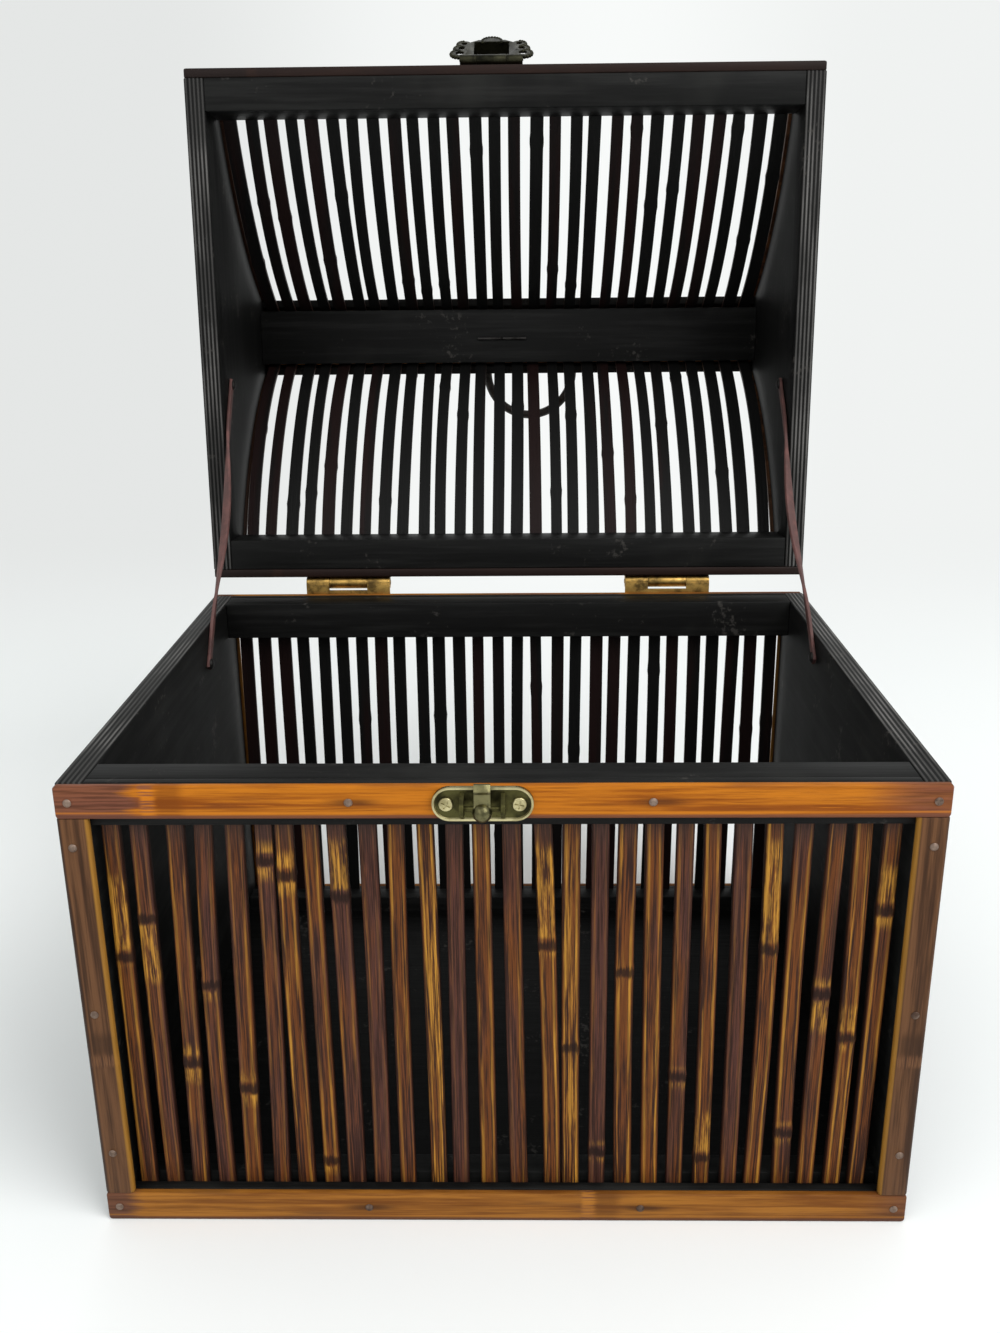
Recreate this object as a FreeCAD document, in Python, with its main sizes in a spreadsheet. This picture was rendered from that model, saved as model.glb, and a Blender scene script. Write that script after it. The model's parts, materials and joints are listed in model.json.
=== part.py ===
import FreeCAD, Part
import math
import os
import re
import Sketcher

# Chest of split bamboo slats on a black plywood carcass, with a hinged pagoda lid that stands open.
# Origin: centre of the underside. +X to the right, +Y to the back, +Z up. Millimetres.
# Front pieces are modelled where they are; a back piece is the same shape turned half round about Z.
# Lid pieces are modelled on the closed box and swung open about the hinge axis by their Placement.

SIZES = (
    ("box_width", 305.0, "width over the side panels"),
    ("box_depth", 245.0, "depth over the front and back trims"),
    ("box_height", 182.0, "height of the box without its lid"),
    ("panel_ply", 9.5, "thickness of side and end panels"),
    ("floor_ply", 6.5, "thickness of the bottom panel"),
    ("trim_thick", 3.0, "thickness of the bamboo trims on the box"),
    ("trim_height", 12.3, "face width of the bamboo trims"),
    ("trim_round", 1.5, "rounding at the ends of the trims"),
    ("post_width", 11.0, "face width of posts and curved end trims"),
    ("post_bevel", 1.0, "bevel on the posts"),
    ("fillet_thick", 4.0, "strip between trim and slats"),
    ("top_fillet_height", 16.0, "height of the top fillets"),
    ("batten_depth", 13.0, "depth of the box battens"),
    ("top_batten_height", 18.0, "height of the top battens"),
    ("bottom_batten_height", 14.5, "height of the bottom battens"),
    ("top_rabbet", 13.0, "height of the slat rabbet in the top battens"),
    ("bottom_rabbet", 10.5, "height of the slat rabbet in the bottom battens"),
    ("slat_count", 28, "slats in one field"),
    ("slat_margin", 3.3, "gap between a side panel and the first slat"),
    ("slat_width", 6.0, "width of a slat"),
    ("slat_thick", 3.0, "thickness of a slat"),
    ("slat_edge", 2.0, "thickness of a slat at its edges"),
    ("slat_play", 0.3, "clearance at the ends of the slats"),
    ("rim_gap", 1.0, "gap between box and closed lid"),
    ("lid_trim_thick", 4.3, "thickness of the rim and eave trims"),
    ("lid_batten_depth", 15.0, "depth of the lid battens"),
    ("roof_radius", 187.0, "radius of the hollow roof curve"),
    ("crown_height", 119.0, "panel crown above the lid's rim"),
    ("crown_width", 39.0, "flat crown of the end panels"),
    ("cap_width", 41.0, "crown cap"),
    ("cap_thick", 3.0, "thickness of the crown cap"),
    ("rail_width", 30.0, "inner face of the crown rail"),
    ("rail_back_width", 23.0, "crown rail at the crown cap"),
    ("rail_thick", 12.0, "thickness of the crown rail"),
    ("crown_fillet_height", 4.0, "fillets beside the crown"),
    ("eave_fillet_depth", 10.0, "fillets behind the eave trims"),
    ("lid_turn", 95.0, "opening angle of the lid, degrees"),
    ("hinge_rise", 5.0, "hinge axis above the box rim"),
    ("hinge_offset", 3.5, "hinge axis behind the back trims"),
    ("hinge_spacing", 166.0, "distance between the two hinges"),
    ("hinge_length", 43.5, "length of a hinge"),
    ("hinge_leaf_height", 15.0, "leaf from the axis to its free edge"),
    ("hinge_leaf_thick", 1.4, "thickness of a leaf"),
    ("knuckle_radius", 3.1, "outer radius of the knuckles"),
    ("knuckle_length", 19.5, "middle knuckle"),
    ("knuckle_gap", 0.15, "end play between knuckles"),
    ("knuckle_relief", 0.4, "notch beside a knuckle, beyond its radius"),
    ("hinge_pin_radius", 1.2, "hinge pin"),
    ("pin_play", 0.05, "radial clearance of every pin"),
    ("hinge_screw_reach", 9.5, "box leaf screws from the axis"),
    ("lid_screw_reach", 10.5, "lid leaf screws from the axis"),
    ("hinge_screw_spacing", 28.0, "distance between a leaf's screws"),
    ("screw_head", 2.5, "radius of a screw head"),
    ("screw_dome", 1.0, "height of a screw head"),
    ("screw_shank", 1.15, "radius of a screw shank"),
    ("screw_length", 7.9, "length under the head"),
    ("nail_head", 1.5, "radius of a nail head"),
    ("nail_dome", 0.8, "height of a nail head"),
    ("nail_shank", 0.6, "radius of a nail shank"),
    ("nail_length", 6.8, "length under the head"),
    ("nail_share", 0.35, "inner nails of a trim, as a share of the outer ones' place"),
    ("eave_nail_up", 15.6, "nails of the eave trims above the lid's rim"),
    ("tack_head", 2.6, "radius of a strap tack head"),
    ("tack_dome", 1.4, "height of a strap tack head"),
    ("latch_x", -6.0, "latch and hasp left of the centre line"),
    ("latch_width", 34.5, "latch plate"),
    ("latch_height", 12.4, "height of the latch plate"),
    ("latch_thick", 1.2, "thickness of the latch plate"),
    ("latch_round", 6.1, "round ends of the latch plate"),
    ("latch_screw_spacing", 24.9, "latch screws"),
    ("ear_span", 15.4, "width over the latch ears"),
    ("ear_thick", 1.5, "thickness of an ear"),
    ("ear_radius", 3.2, "round of the ears about the pin"),
    ("ear_corner", 2.24, "corners of the ears' round, from the pin each way"),
    ("ear_root", 4.5, "ears at the plate, above and below the pin"),
    ("latch_pin_out", 5.2, "latch pin in front of the trim"),
    ("latch_pin_radius", 0.9, "latch pin"),
    ("lever_width", 5.6, "lever neck"),
    ("lever_hub", 2.2, "radius of the lever hub"),
    ("lever_back", 0.9, "neck behind the pin's centre"),
    ("lever_front", 1.5, "neck in front of the pin's centre"),
    ("lever_reach", 9.2, "hook tip above the pin"),
    ("hook_nose", 2.6, "hook in front of the pin's centre"),
    ("hook_slope", 2.0, "sloping top of the hook"),
    ("hook_depth", 3.4, "height of the hook"),
    ("ball_radius", 3.35, "thumb ball"),
    ("ball_drop", 0.9, "ball below the pin"),
    ("ball_out", 1.2, "ball in front of the pin"),
    ("spring_sheet", 0.3, "sheet of the latch spring"),
    ("spring_width", 3.0, "width of the latch spring"),
    ("spring_rise", 3.6, "top of the latch spring above the pin"),
    ("spring_bend", 0.6, "bend of the latch spring above the pin"),
    ("spring_tip", 0.9, "tip of the latch spring below the pin"),
    ("spring_gap", 0.45, "latch spring off the lever's hub"),
    ("pin_proud", 0.3, "pins out of their knuckles or ears"),
    ("hasp_pin_rise", 6.0, "hasp pin above the lid's rim"),
    ("hasp_pin_out", 3.2, "hasp pin in front of the trim"),
    ("hasp_pin_radius", 0.7, "hasp pin"),
    ("hasp_knuckle", 2.4, "radius of the hasp knuckles"),
    ("hasp_leaf_width", 30.0, "fixed leaf of the hasp"),
    ("hasp_leaf_height", 15.0, "fixed leaf from the pin"),
    ("hasp_sheet", 1.2, "sheet of the hasp"),
    ("hasp_neck", 14.0, "middle knuckle of the hasp"),
    ("hasp_width", 24.0, "flap between its scrolls"),
    ("hasp_length", 23.0, "flap from the pin, without its tip"),
    ("hasp_slot_width", 17.0, "slot for the latch"),
    ("hasp_slot_top", 4.4, "slot below the pin"),
    ("hasp_slot_height", 16.4, "height of the slot"),
    ("hasp_tip_radius", 4.7, "round tip of the flap"),
    ("hasp_corner", 2.0, "cut corners of the flap"),
    ("hasp_end_width", 13.0, "flap at its far end"),
    ("hasp_screw_drop", 6.4, "hasp screws below the leaf's free edge"),
    ("hasp_screw_spacing", 20.0, "distance between the hasp's screws"),
    ("hasp_turn", 147.0, "flap folded back, degrees from hanging"),
    ("scroll_radius", 4.2, "scrolls beside the flap"),
    ("scroll_eye", 2.0, "hole in a scroll"),
    ("ring_radius", 25.3, "centre line of the ring pull"),
    ("ring_rod", 2.4, "radius of the ring's rod"),
    ("ring_pin_x", -3.3, "split pin across the crown"),
    ("ring_pin_y", 1.4, "split pin along the crown"),
    ("ring_turn", 40.5, "ring turned in its plane, degrees"),
    ("ring_lift_turn", 6.6, "ring standing off the crown, degrees"),
    ("eye_radius", 3.5, "centre line of the split pin's eye"),
    ("eye_wire", 0.8, "radius of the split pin's wire"),
    ("leg_stand", 0.9, "legs of the split pin off its centre line"),
    ("bend_radius", 0.86, "round at the bend of a leg"),
    ("leg_length", 13.0, "clenched leg on the crown rail"),
    ("strap_width", 4.5, "stay strap"),
    ("strap_thick", 1.5, "thickness of a stay strap"),
    ("strap_stand", 0.3, "strap off the panels"),
    ("strap_hole", 0.9, "radius of the holes for the tacks"),
    ("tack_seat", 0.1, "tack heads off the strap"),
    ("left_tack_y", 57.0, "left box tack from the centre, along Y"),
    ("left_tack_down", 16.5, "left box tack below the rim"),
    ("right_tack_y", 42.0, "right box tack"),
    ("right_tack_down", 9.5, "right box tack below the rim"),
    ("left_lid_tack_in", 97.7, "left lid tack in front of the back trims"),
    ("left_lid_tack_up", 18.5, "left lid tack above the lid's rim"),
    ("right_lid_tack_in", 95.8, "right lid tack in front of the back trims"),
    ("right_lid_tack_up", 25.3, "right lid tack above the lid's rim"),
)

# Hand-set slats wander from their even spacing by these shares of it.
SLAT_WANDER = (0.0, 0.05, -0.03, 0.02, -0.06, 0.04, -0.01)

# Heights of the nails in the posts, as shares of the box height
POST_NAILS = (0.17, 0.505, 0.873)

doc = FreeCAD.newDocument("BambooChest")
sheet = doc.addObject("Spreadsheet::Sheet", "Sizes")
for row, (alias, amount, meaning) in enumerate(SIZES, start=1):
    sheet.set("A%d" % row, meaning)
    sheet.set("B%d" % row, str(amount))
    sheet.setAlias("B%d" % row, alias)
doc.recompute()

ALIASES = {alias for alias, amount, meaning in SIZES}


class Values:
    """The sheet's numbers, for places that are worked out here."""

    def __getattr__(self, alias):
        return float(getattr(sheet, alias))


val = Values()
pieces = []


def bound(text):
    """Write an expression on the sheet's aliases."""
    return re.sub(r"[a-z_]+", lambda m: "Sizes." + m.group() if m.group() in ALIASES else m.group(), text)


def keep(piece, label, placement=None):
    """Name a finished sub-part, place it and list it for export."""
    piece.Label = label
    if placement is not None:
        piece.Placement = placement
    pieces.append(piece)
    return piece


# Places that several pieces share

RIM = "(box_height + rim_gap)"
HALF_INSIDE = "(box_width / 2 - panel_ply)"
LID_FRONT = "(-box_depth / 2 + lid_trim_thick)"
AXIS_Z = "(box_height + hinge_rise)"
AXIS_Y = "(box_depth / 2 + hinge_offset)"
LATCH_Z = "(box_height - trim_height / 2)"
LATCH_PIN_Y = "(-box_depth / 2 - latch_pin_out)"
HASP_Z = "(box_height + rim_gap + hasp_pin_rise)"
HASP_Y = "(-box_depth / 2 - hasp_pin_out)"

X_AXIS = FreeCAD.Vector(1, 0, 0)
Y_AXIS = FreeCAD.Vector(0, 1, 0)
Z_AXIS = FreeCAD.Vector(0, 0, 1)

rim = val.box_height + val.rim_gap
hinge_point = FreeCAD.Vector(0, val.box_depth / 2 + val.hinge_offset, val.box_height + val.hinge_rise)
hasp_point = FreeCAD.Vector(0, -val.box_depth / 2 - val.hasp_pin_out, rim + val.hasp_pin_rise)


def turned(axis, degrees, centre):
    """A turn about an axis through a point."""
    return FreeCAD.Placement(FreeCAD.Vector(0, 0, 0), FreeCAD.Rotation(axis, degrees), centre)


AS_MADE = FreeCAD.Placement()
HALF_TURN = turned(Z_AXIS, 180, FreeCAD.Vector(0, 0, 0))
LID_OPEN = turned(X_AXIS, -val.lid_turn, hinge_point)
LID_OPEN_BACK = LID_OPEN.multiply(HALF_TURN)
HASP_BACK = LID_OPEN.multiply(turned(X_AXIS, -val.hasp_turn, hasp_point))


# Sketches and features

def origin_plane(body, role):
    for feature in body.Origin.OriginFeatures:
        if feature.Role == role:
            return feature
    raise RuntimeError("no plane " + role)


def sketch_on(body, role, offset):
    """A sketch on an origin plane of its own body, moved along the plane's normal."""
    sketch = body.newObject("Sketcher::SketchObject", body.Name + "_sketch")
    sketch.AttachmentSupport = (origin_plane(body, role), "")
    sketch.MapMode = "FlatFace"
    sketch.setExpression("AttachmentOffset.Base.z", bound(offset))
    return sketch


def bind(sketch, constraint, text):
    index = sketch.addConstraint(constraint)
    sketch.setExpression("Constraints[%d]" % index, bound(text))


def polygon(sketch, corners):
    """A closed outline whose corners are bound to the sheet."""
    count = len(corners)
    turn = FreeCAD.Rotation(Z_AXIS, 360 / count)
    start = [X_AXIS]
    while len(start) < count:
        start.append(turn.multVec(start[-1]))
    first = sketch.GeometryCount
    for i in range(count):
        sketch.addGeometry(Part.LineSegment(start[i], start[(i + 1) % count]), False)
    for i in range(count):
        sketch.addConstraint(Sketcher.Constraint("Coincident", first + i, 2, first + (i + 1) % count, 1))
    for i, (across, up) in enumerate(corners):
        bind(sketch, Sketcher.Constraint("DistanceX", -1, 1, first + i, 1, start[i].x), across)
        bind(sketch, Sketcher.Constraint("DistanceY", -1, 1, first + i, 1, start[i].y), up)


def circle(sketch, across, up, radius):
    index = sketch.addGeometry(Part.Circle(FreeCAD.Vector(1, 1, 0), Z_AXIS, 1), False)
    bind(sketch, Sketcher.Constraint("DistanceX", -1, 1, index, 3, 1), across)
    bind(sketch, Sketcher.Constraint("DistanceY", -1, 1, index, 3, 1), up)
    bind(sketch, Sketcher.Constraint("Radius", index, 1), radius)


def pad(body, sketch, length):
    feature = body.newObject("PartDesign::Pad", body.Name + "_pad")
    feature.Profile = sketch
    feature.setExpression("Length", bound(length))
    body.Tip = feature
    return feature


def pocket(body, sketch, length, backwards=False):
    """Cut a pocket and make sure that it took material away."""
    doc.recompute()
    before = body.Shape.Volume
    feature = body.newObject("PartDesign::Pocket", body.Name + "_pocket")
    feature.Profile = sketch
    feature.Reversed = backwards
    feature.setExpression("Length", bound(length))
    body.Tip = feature
    doc.recompute()
    if body.Shape.Volume >= before:
        raise RuntimeError("pocket cuts nothing in " + body.Name)
    return feature


def new_body(name):
    return doc.addObject("PartDesign::Body", name)


def extruded(name, role, corners, offset, length, holes=()):
    """A body padded from one outline, with round holes where given as (across, up, radius)."""
    body = new_body(name)
    sketch = sketch_on(body, role, offset)
    polygon(sketch, corners)
    for across, up, radius in holes:
        circle(sketch, across, up, radius)
    pad(body, sketch, length)
    return body


def round_edges(body, radius, along):
    """Round the tip's edges that run along one direction."""
    doc.recompute()
    tip = body.Tip
    names = []
    for number, edge in enumerate(tip.Shape.Edges, start=1):
        if edge.Curve.TypeId != "Part::GeomLine":
            continue
        run = (edge.Vertexes[-1].Point - edge.Vertexes[0].Point).normalize()
        if abs(run.dot(along)) > 0.999:
            names.append("Edge%d" % number)
    feature = body.newObject("PartDesign::Fillet", body.Name + "_round")
    feature.Base = (tip, names)
    feature.setExpression("Radius", bound(radius))
    body.Tip = feature


def rectangle(low_across, low_up, high_across, high_up):
    return ((low_across, low_up), (high_across, low_up), (high_across, high_up), (low_across, high_up))


def group(label, master, places, placement):
    """Copies of one master shape as separate solids in one node."""
    doc.recompute()
    copies = [master.Shape.transformed(place.toMatrix(), True) for place in places]
    feature = doc.addObject("Part::Feature", label)
    feature.Shape = Part.makeCompound(copies)
    return keep(feature, label, placement)


def at(across, along, up, rotation=FreeCAD.Rotation()):
    return FreeCAD.Placement(FreeCAD.Vector(across, along, up), rotation)


# Carcass of the box

def side_panel(label, side):
    panel = doc.addObject("Part::Box", label)
    panel.setExpression("Length", bound("panel_ply"))
    panel.setExpression("Width", bound("box_depth - 2 * trim_thick"))
    panel.setExpression("Height", bound("box_height"))
    start = "-box_width / 2" if side < 0 else "box_width / 2 - panel_ply"
    panel.setExpression("Placement.Base.x", bound(start))
    panel.setExpression("Placement.Base.y", bound("-box_depth / 2 + trim_thick"))
    keep(panel, label)


def bottom_panel():
    inner = "(box_depth - 2 * (trim_thick + fillet_thick + batten_depth))"
    panel = doc.addObject("Part::Box", "bottom_panel")
    panel.setExpression("Length", bound("2 * " + HALF_INSIDE))
    panel.setExpression("Width", bound(inner))
    panel.setExpression("Height", bound("floor_ply"))
    panel.setExpression("Placement.Base.x", bound("-" + HALF_INSIDE))
    panel.setExpression("Placement.Base.y", bound("-%s / 2" % inner))
    keep(panel, "bottom_panel")


def box_battens(face, placement):
    outer = "(-box_depth / 2 + trim_thick + fillet_thick)"
    inner = "(%s + batten_depth)" % outer
    rabbet = "(%s + slat_thick)" % outer
    top = (
        (outer, "box_height"),
        (outer, "box_height - top_batten_height + top_rabbet"),
        (rabbet, "box_height - top_batten_height + top_rabbet"),
        (rabbet, "box_height - top_batten_height"),
        (inner, "box_height - top_batten_height"),
        (inner, "box_height"),
    )
    bottom = (
        (outer, "0"),
        (inner, "0"),
        (inner, "bottom_batten_height"),
        (rabbet, "bottom_batten_height"),
        (rabbet, "bottom_batten_height - bottom_rabbet"),
        (outer, "bottom_batten_height - bottom_rabbet"),
    )
    for name, corners in (("top", top), ("bottom", bottom)):
        body = extruded("%s_%s_batten" % (face, name), "YZ_Plane", corners, "-" + HALF_INSIDE, "2 * " + HALF_INSIDE)
        keep(body, "%s_%s_batten" % (face, name), placement)


def box_fillets(face, placement):
    outer = "(-box_depth / 2 + trim_thick)"
    inner = "(%s + fillet_thick)" % outer
    rows = (
        ("top", "box_height - top_fillet_height", "box_height"),
        ("bottom", "0", "trim_height"),
    )
    for name, low, high in rows:
        body = extruded("%s_%s_fillet" % (face, name), "YZ_Plane", rectangle(outer, low, inner, high),
                        "-" + HALF_INSIDE, "2 * " + HALF_INSIDE)
        keep(body, "%s_%s_fillet" % (face, name), placement)


def long_trim(label, low, thick, placement):
    """A bamboo strip across the whole width, with rounded ends."""
    outline = rectangle("-box_width / 2", low, "box_width / 2", low + " + trim_height")
    body = extruded(label, "XZ_Plane", outline, "box_depth / 2 - " + thick, thick)
    round_edges(body, "trim_round", Y_AXIS)
    keep(body, label, placement)


def corner_post(label, side, placement):
    """A bamboo strip over the edge of a side panel, between the long trims."""
    edge = "%d * box_width / 2" % side
    inner = "%d * (box_width / 2 - post_width)" % side
    bevelled = "%d * (box_width / 2 - post_width + post_bevel)" % side
    corners = (
        (edge, "-box_depth / 2 + trim_thick"),
        (inner, "-box_depth / 2 + trim_thick"),
        (inner, "-box_depth / 2 + post_bevel"),
        (bevelled, "-box_depth / 2"),
        ("%d * (box_width / 2 - post_bevel)" % side, "-box_depth / 2"),
        (edge, "-box_depth / 2 + post_bevel"),
    )
    body = extruded(label, "XY_Plane", corners, "trim_height", "box_height - 2 * trim_height")
    keep(body, label, placement)


def slat_stations():
    """Places of the slats across the width."""
    count = int(val.slat_count)
    field = val.box_width - 2 * (val.panel_ply + val.slat_margin) - val.slat_width
    pitch = field / (count - 1)
    return [(i / (count - 1) - 0.5) * field + SLAT_WANDER[i % len(SLAT_WANDER)] * pitch for i in range(count)]


def flat_slat():
    """One split slat of the box, flat inside and crowned outside, standing on the origin."""
    half = "slat_width / 2"
    crown = "slat_width / 4"
    corners = (
        ("-" + half, "0"),
        (half, "0"),
        (half, "-slat_edge"),
        (crown, "-slat_thick"),
        ("-" + crown, "-slat_thick"),
        ("-" + half, "-slat_edge"),
    )
    low = "bottom_batten_height - bottom_rabbet + slat_play"
    high = "box_height - top_batten_height + top_rabbet - slat_play"
    return extruded("flat_slat", "XY_Plane", corners, low, "(%s) - (%s)" % (high, low))


# Outline of a domed head: share of its radius and share of its dome, from the middle out
DOME = ((0.0, 1.0), (0.55, 0.85), (0.88, 0.5), (1.0, 0.25), (1.0, 0.0))


def round_head(name, head, dome, shank, length):
    """A domed fastener along +Y, its head towards -Y and the seat of the head at the origin."""
    body = new_body(name)
    sketch = sketch_on(body, "XY_Plane", "0")
    outline = [("%s * %s" % (out, head), "-%s * %s" % (up, dome)) for out, up in DOME]
    polygon(sketch, (
        *outline,
        (shank, "0"),
        (shank, "%s - %s" % (length, shank)),
        ("0", length),
    ))
    turn = body.newObject("PartDesign::Revolution", name + "_turn")
    turn.Profile = sketch
    turn.ReferenceAxis = (sketch, ["V_Axis"])
    turn.Angle = 360
    body.Tip = turn
    return body


# Roof curve of the lid

def roof_centre():
    """Centre of the hollow roof curve at the front, from the eave to the crown."""
    eave = (-val.box_depth / 2 + val.lid_trim_thick, rim + 2 * val.trim_height)
    crown = (-val.crown_width / 2, rim + val.crown_height)
    along = (crown[0] - eave[0], crown[1] - eave[1])
    chord = math.hypot(*along)
    rise = math.sqrt(val.roof_radius ** 2 - (chord / 2) ** 2)
    middle = ((eave[0] + crown[0]) / 2, (eave[1] + crown[1]) / 2)
    return middle[0] - along[1] / chord * rise, middle[1] + along[0] / chord * rise


ROOF = roof_centre()


def roof_angle_at_y(radius, across):
    return -math.acos((across - ROOF[0]) / radius)


def roof_angle_at_z(radius, up):
    return math.asin((up - ROOF[1]) / radius)


def on_roof(radius, angle):
    return FreeCAD.Vector(ROOF[0] + radius * math.cos(angle), ROOF[1] + radius * math.sin(angle), 0)


def roof_guide(sketch):
    """The panel's own roof curve as a construction arc, fixed by its ends and its radius."""
    radius = val.roof_radius
    start = roof_angle_at_y(radius, -val.box_depth / 2 + val.lid_trim_thick)
    end = roof_angle_at_y(radius, -val.crown_width / 2)
    arc = Part.ArcOfCircle(Part.Circle(FreeCAD.Vector(ROOF[0], ROOF[1], 0), Z_AXIS, radius), start, end)
    index = sketch.addGeometry(arc, True)
    bind(sketch, Sketcher.Constraint("Radius", index, radius), "roof_radius")
    eave = on_roof(radius, start)
    crown = on_roof(radius, end)
    bind(sketch, Sketcher.Constraint("DistanceX", -1, 1, index, 1, eave.x), LID_FRONT)
    bind(sketch, Sketcher.Constraint("DistanceY", -1, 1, index, 1, eave.y), RIM + " + 2 * trim_height")
    bind(sketch, Sketcher.Constraint("DistanceX", -1, 1, index, 2, crown.x), "-crown_width / 2")
    bind(sketch, Sketcher.Constraint("DistanceY", -1, 1, index, 2, crown.y), RIM + " + crown_height")
    return index


def roof_strip(name, near, far, low_end, high_end, start, length):
    """A strip bent along the roof curve.

    near and far are (number, expression) offsets outside the curve. low_end is ("y", number, expression)
    and high_end ("z" or "y", number, expression): where the strip is cut off.
    """
    body = new_body(name)
    sketch = sketch_on(body, "YZ_Plane", start)
    guide = roof_guide(sketch)
    arcs = []
    for amount, text in (near, far):
        radius = val.roof_radius + amount
        angles = []
        for kind, place, words in (low_end, high_end):
            angles.append(roof_angle_at_y(radius, place) if kind == "y" else roof_angle_at_z(radius, place))
        arc = Part.ArcOfCircle(Part.Circle(FreeCAD.Vector(ROOF[0], ROOF[1], 0), Z_AXIS, radius), *angles)
        index = sketch.addGeometry(arc, False)
        sketch.addConstraint(Sketcher.Constraint("Coincident", guide, 3, index, 3))
        bind(sketch, Sketcher.Constraint("Radius", index, radius), "roof_radius + (%s)" % text)
        for end, (kind, place, words) in enumerate((low_end, high_end), start=1):
            direction = "DistanceX" if kind == "y" else "DistanceY"
            bind(sketch, Sketcher.Constraint(direction, -1, 1, index, end, place), words)
        arcs.append((index, radius, angles))
    for end in (0, 1):
        first = on_roof(arcs[0][1], arcs[0][2][end])
        second = on_roof(arcs[1][1], arcs[1][2][end])
        line = sketch.addGeometry(Part.LineSegment(first, second), False)
        sketch.addConstraint(Sketcher.Constraint("Coincident", arcs[0][0], end + 1, line, 1))
        sketch.addConstraint(Sketcher.Constraint("Coincident", line, 2, arcs[1][0], end + 1))
    pad(body, sketch, length)
    return body


def end_panel(label, side):
    """Plywood end of the lid: upright eaves, hollow roof curves and a flat crown."""
    body = new_body(label)
    start = "-box_width / 2" if side < 0 else "box_width / 2 - panel_ply"
    sketch = sketch_on(body, "YZ_Plane", start)
    radius = val.roof_radius
    eave_y = -val.box_depth / 2 + val.lid_trim_thick
    front_angles = (roof_angle_at_y(radius, eave_y), roof_angle_at_y(radius, -val.crown_width / 2))
    centre = FreeCAD.Vector(ROOF[0], ROOF[1], 0)
    mirror = FreeCAD.Vector(-ROOF[0], ROOF[1], 0)
    front = sketch.addGeometry(Part.ArcOfCircle(Part.Circle(centre, Z_AXIS, radius), *front_angles), False)
    back_angles = (math.pi - front_angles[1], math.pi - front_angles[0])
    back = sketch.addGeometry(Part.ArcOfCircle(Part.Circle(mirror, Z_AXIS, radius), *back_angles), False)
    eave = on_roof(radius, front_angles[0])
    crown = on_roof(radius, front_angles[1])
    floor_z = rim
    points = [
        FreeCAD.Vector(eave.x, eave.y, 0),
        FreeCAD.Vector(eave.x, floor_z, 0),
        FreeCAD.Vector(-eave.x, floor_z, 0),
        FreeCAD.Vector(-eave.x, eave.y, 0),
    ]
    lines = [sketch.addGeometry(Part.LineSegment(points[i], points[i + 1]), False) for i in range(3)]
    crown_line = sketch.addGeometry(
        Part.LineSegment(FreeCAD.Vector(-crown.x, crown.y, 0), FreeCAD.Vector(crown.x, crown.y, 0)), False)
    joins = (
        (front, 1, lines[0], 1),
        (lines[0], 2, lines[1], 1),
        (lines[1], 2, lines[2], 1),
        (lines[2], 2, back, 2),
        (back, 1, crown_line, 1),
        (crown_line, 2, front, 2),
    )
    for join in joins:
        sketch.addConstraint(Sketcher.Constraint("Coincident", *join))
    bind(sketch, Sketcher.Constraint("Radius", front, radius), "roof_radius")
    bind(sketch, Sketcher.Constraint("Radius", back, radius), "roof_radius")
    corners = (
        (lines[0], 1, LID_FRONT, RIM + " + 2 * trim_height", points[0]),
        (lines[0], 2, LID_FRONT, RIM, points[1]),
        (lines[1], 2, "-" + LID_FRONT, RIM, points[2]),
        (lines[2], 2, "-" + LID_FRONT, RIM + " + 2 * trim_height", points[3]),
        (crown_line, 1, "crown_width / 2", RIM + " + crown_height", FreeCAD.Vector(-crown.x, crown.y, 0)),
        (crown_line, 2, "-crown_width / 2", RIM + " + crown_height", crown),
    )
    for line, end, across, up, point in corners:
        bind(sketch, Sketcher.Constraint("DistanceX", -1, 1, line, end, point.x), across)
        bind(sketch, Sketcher.Constraint("DistanceY", -1, 1, line, end, point.y), up)
    pad(body, sketch, "panel_ply")
    keep(body, label, LID_OPEN)


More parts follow.
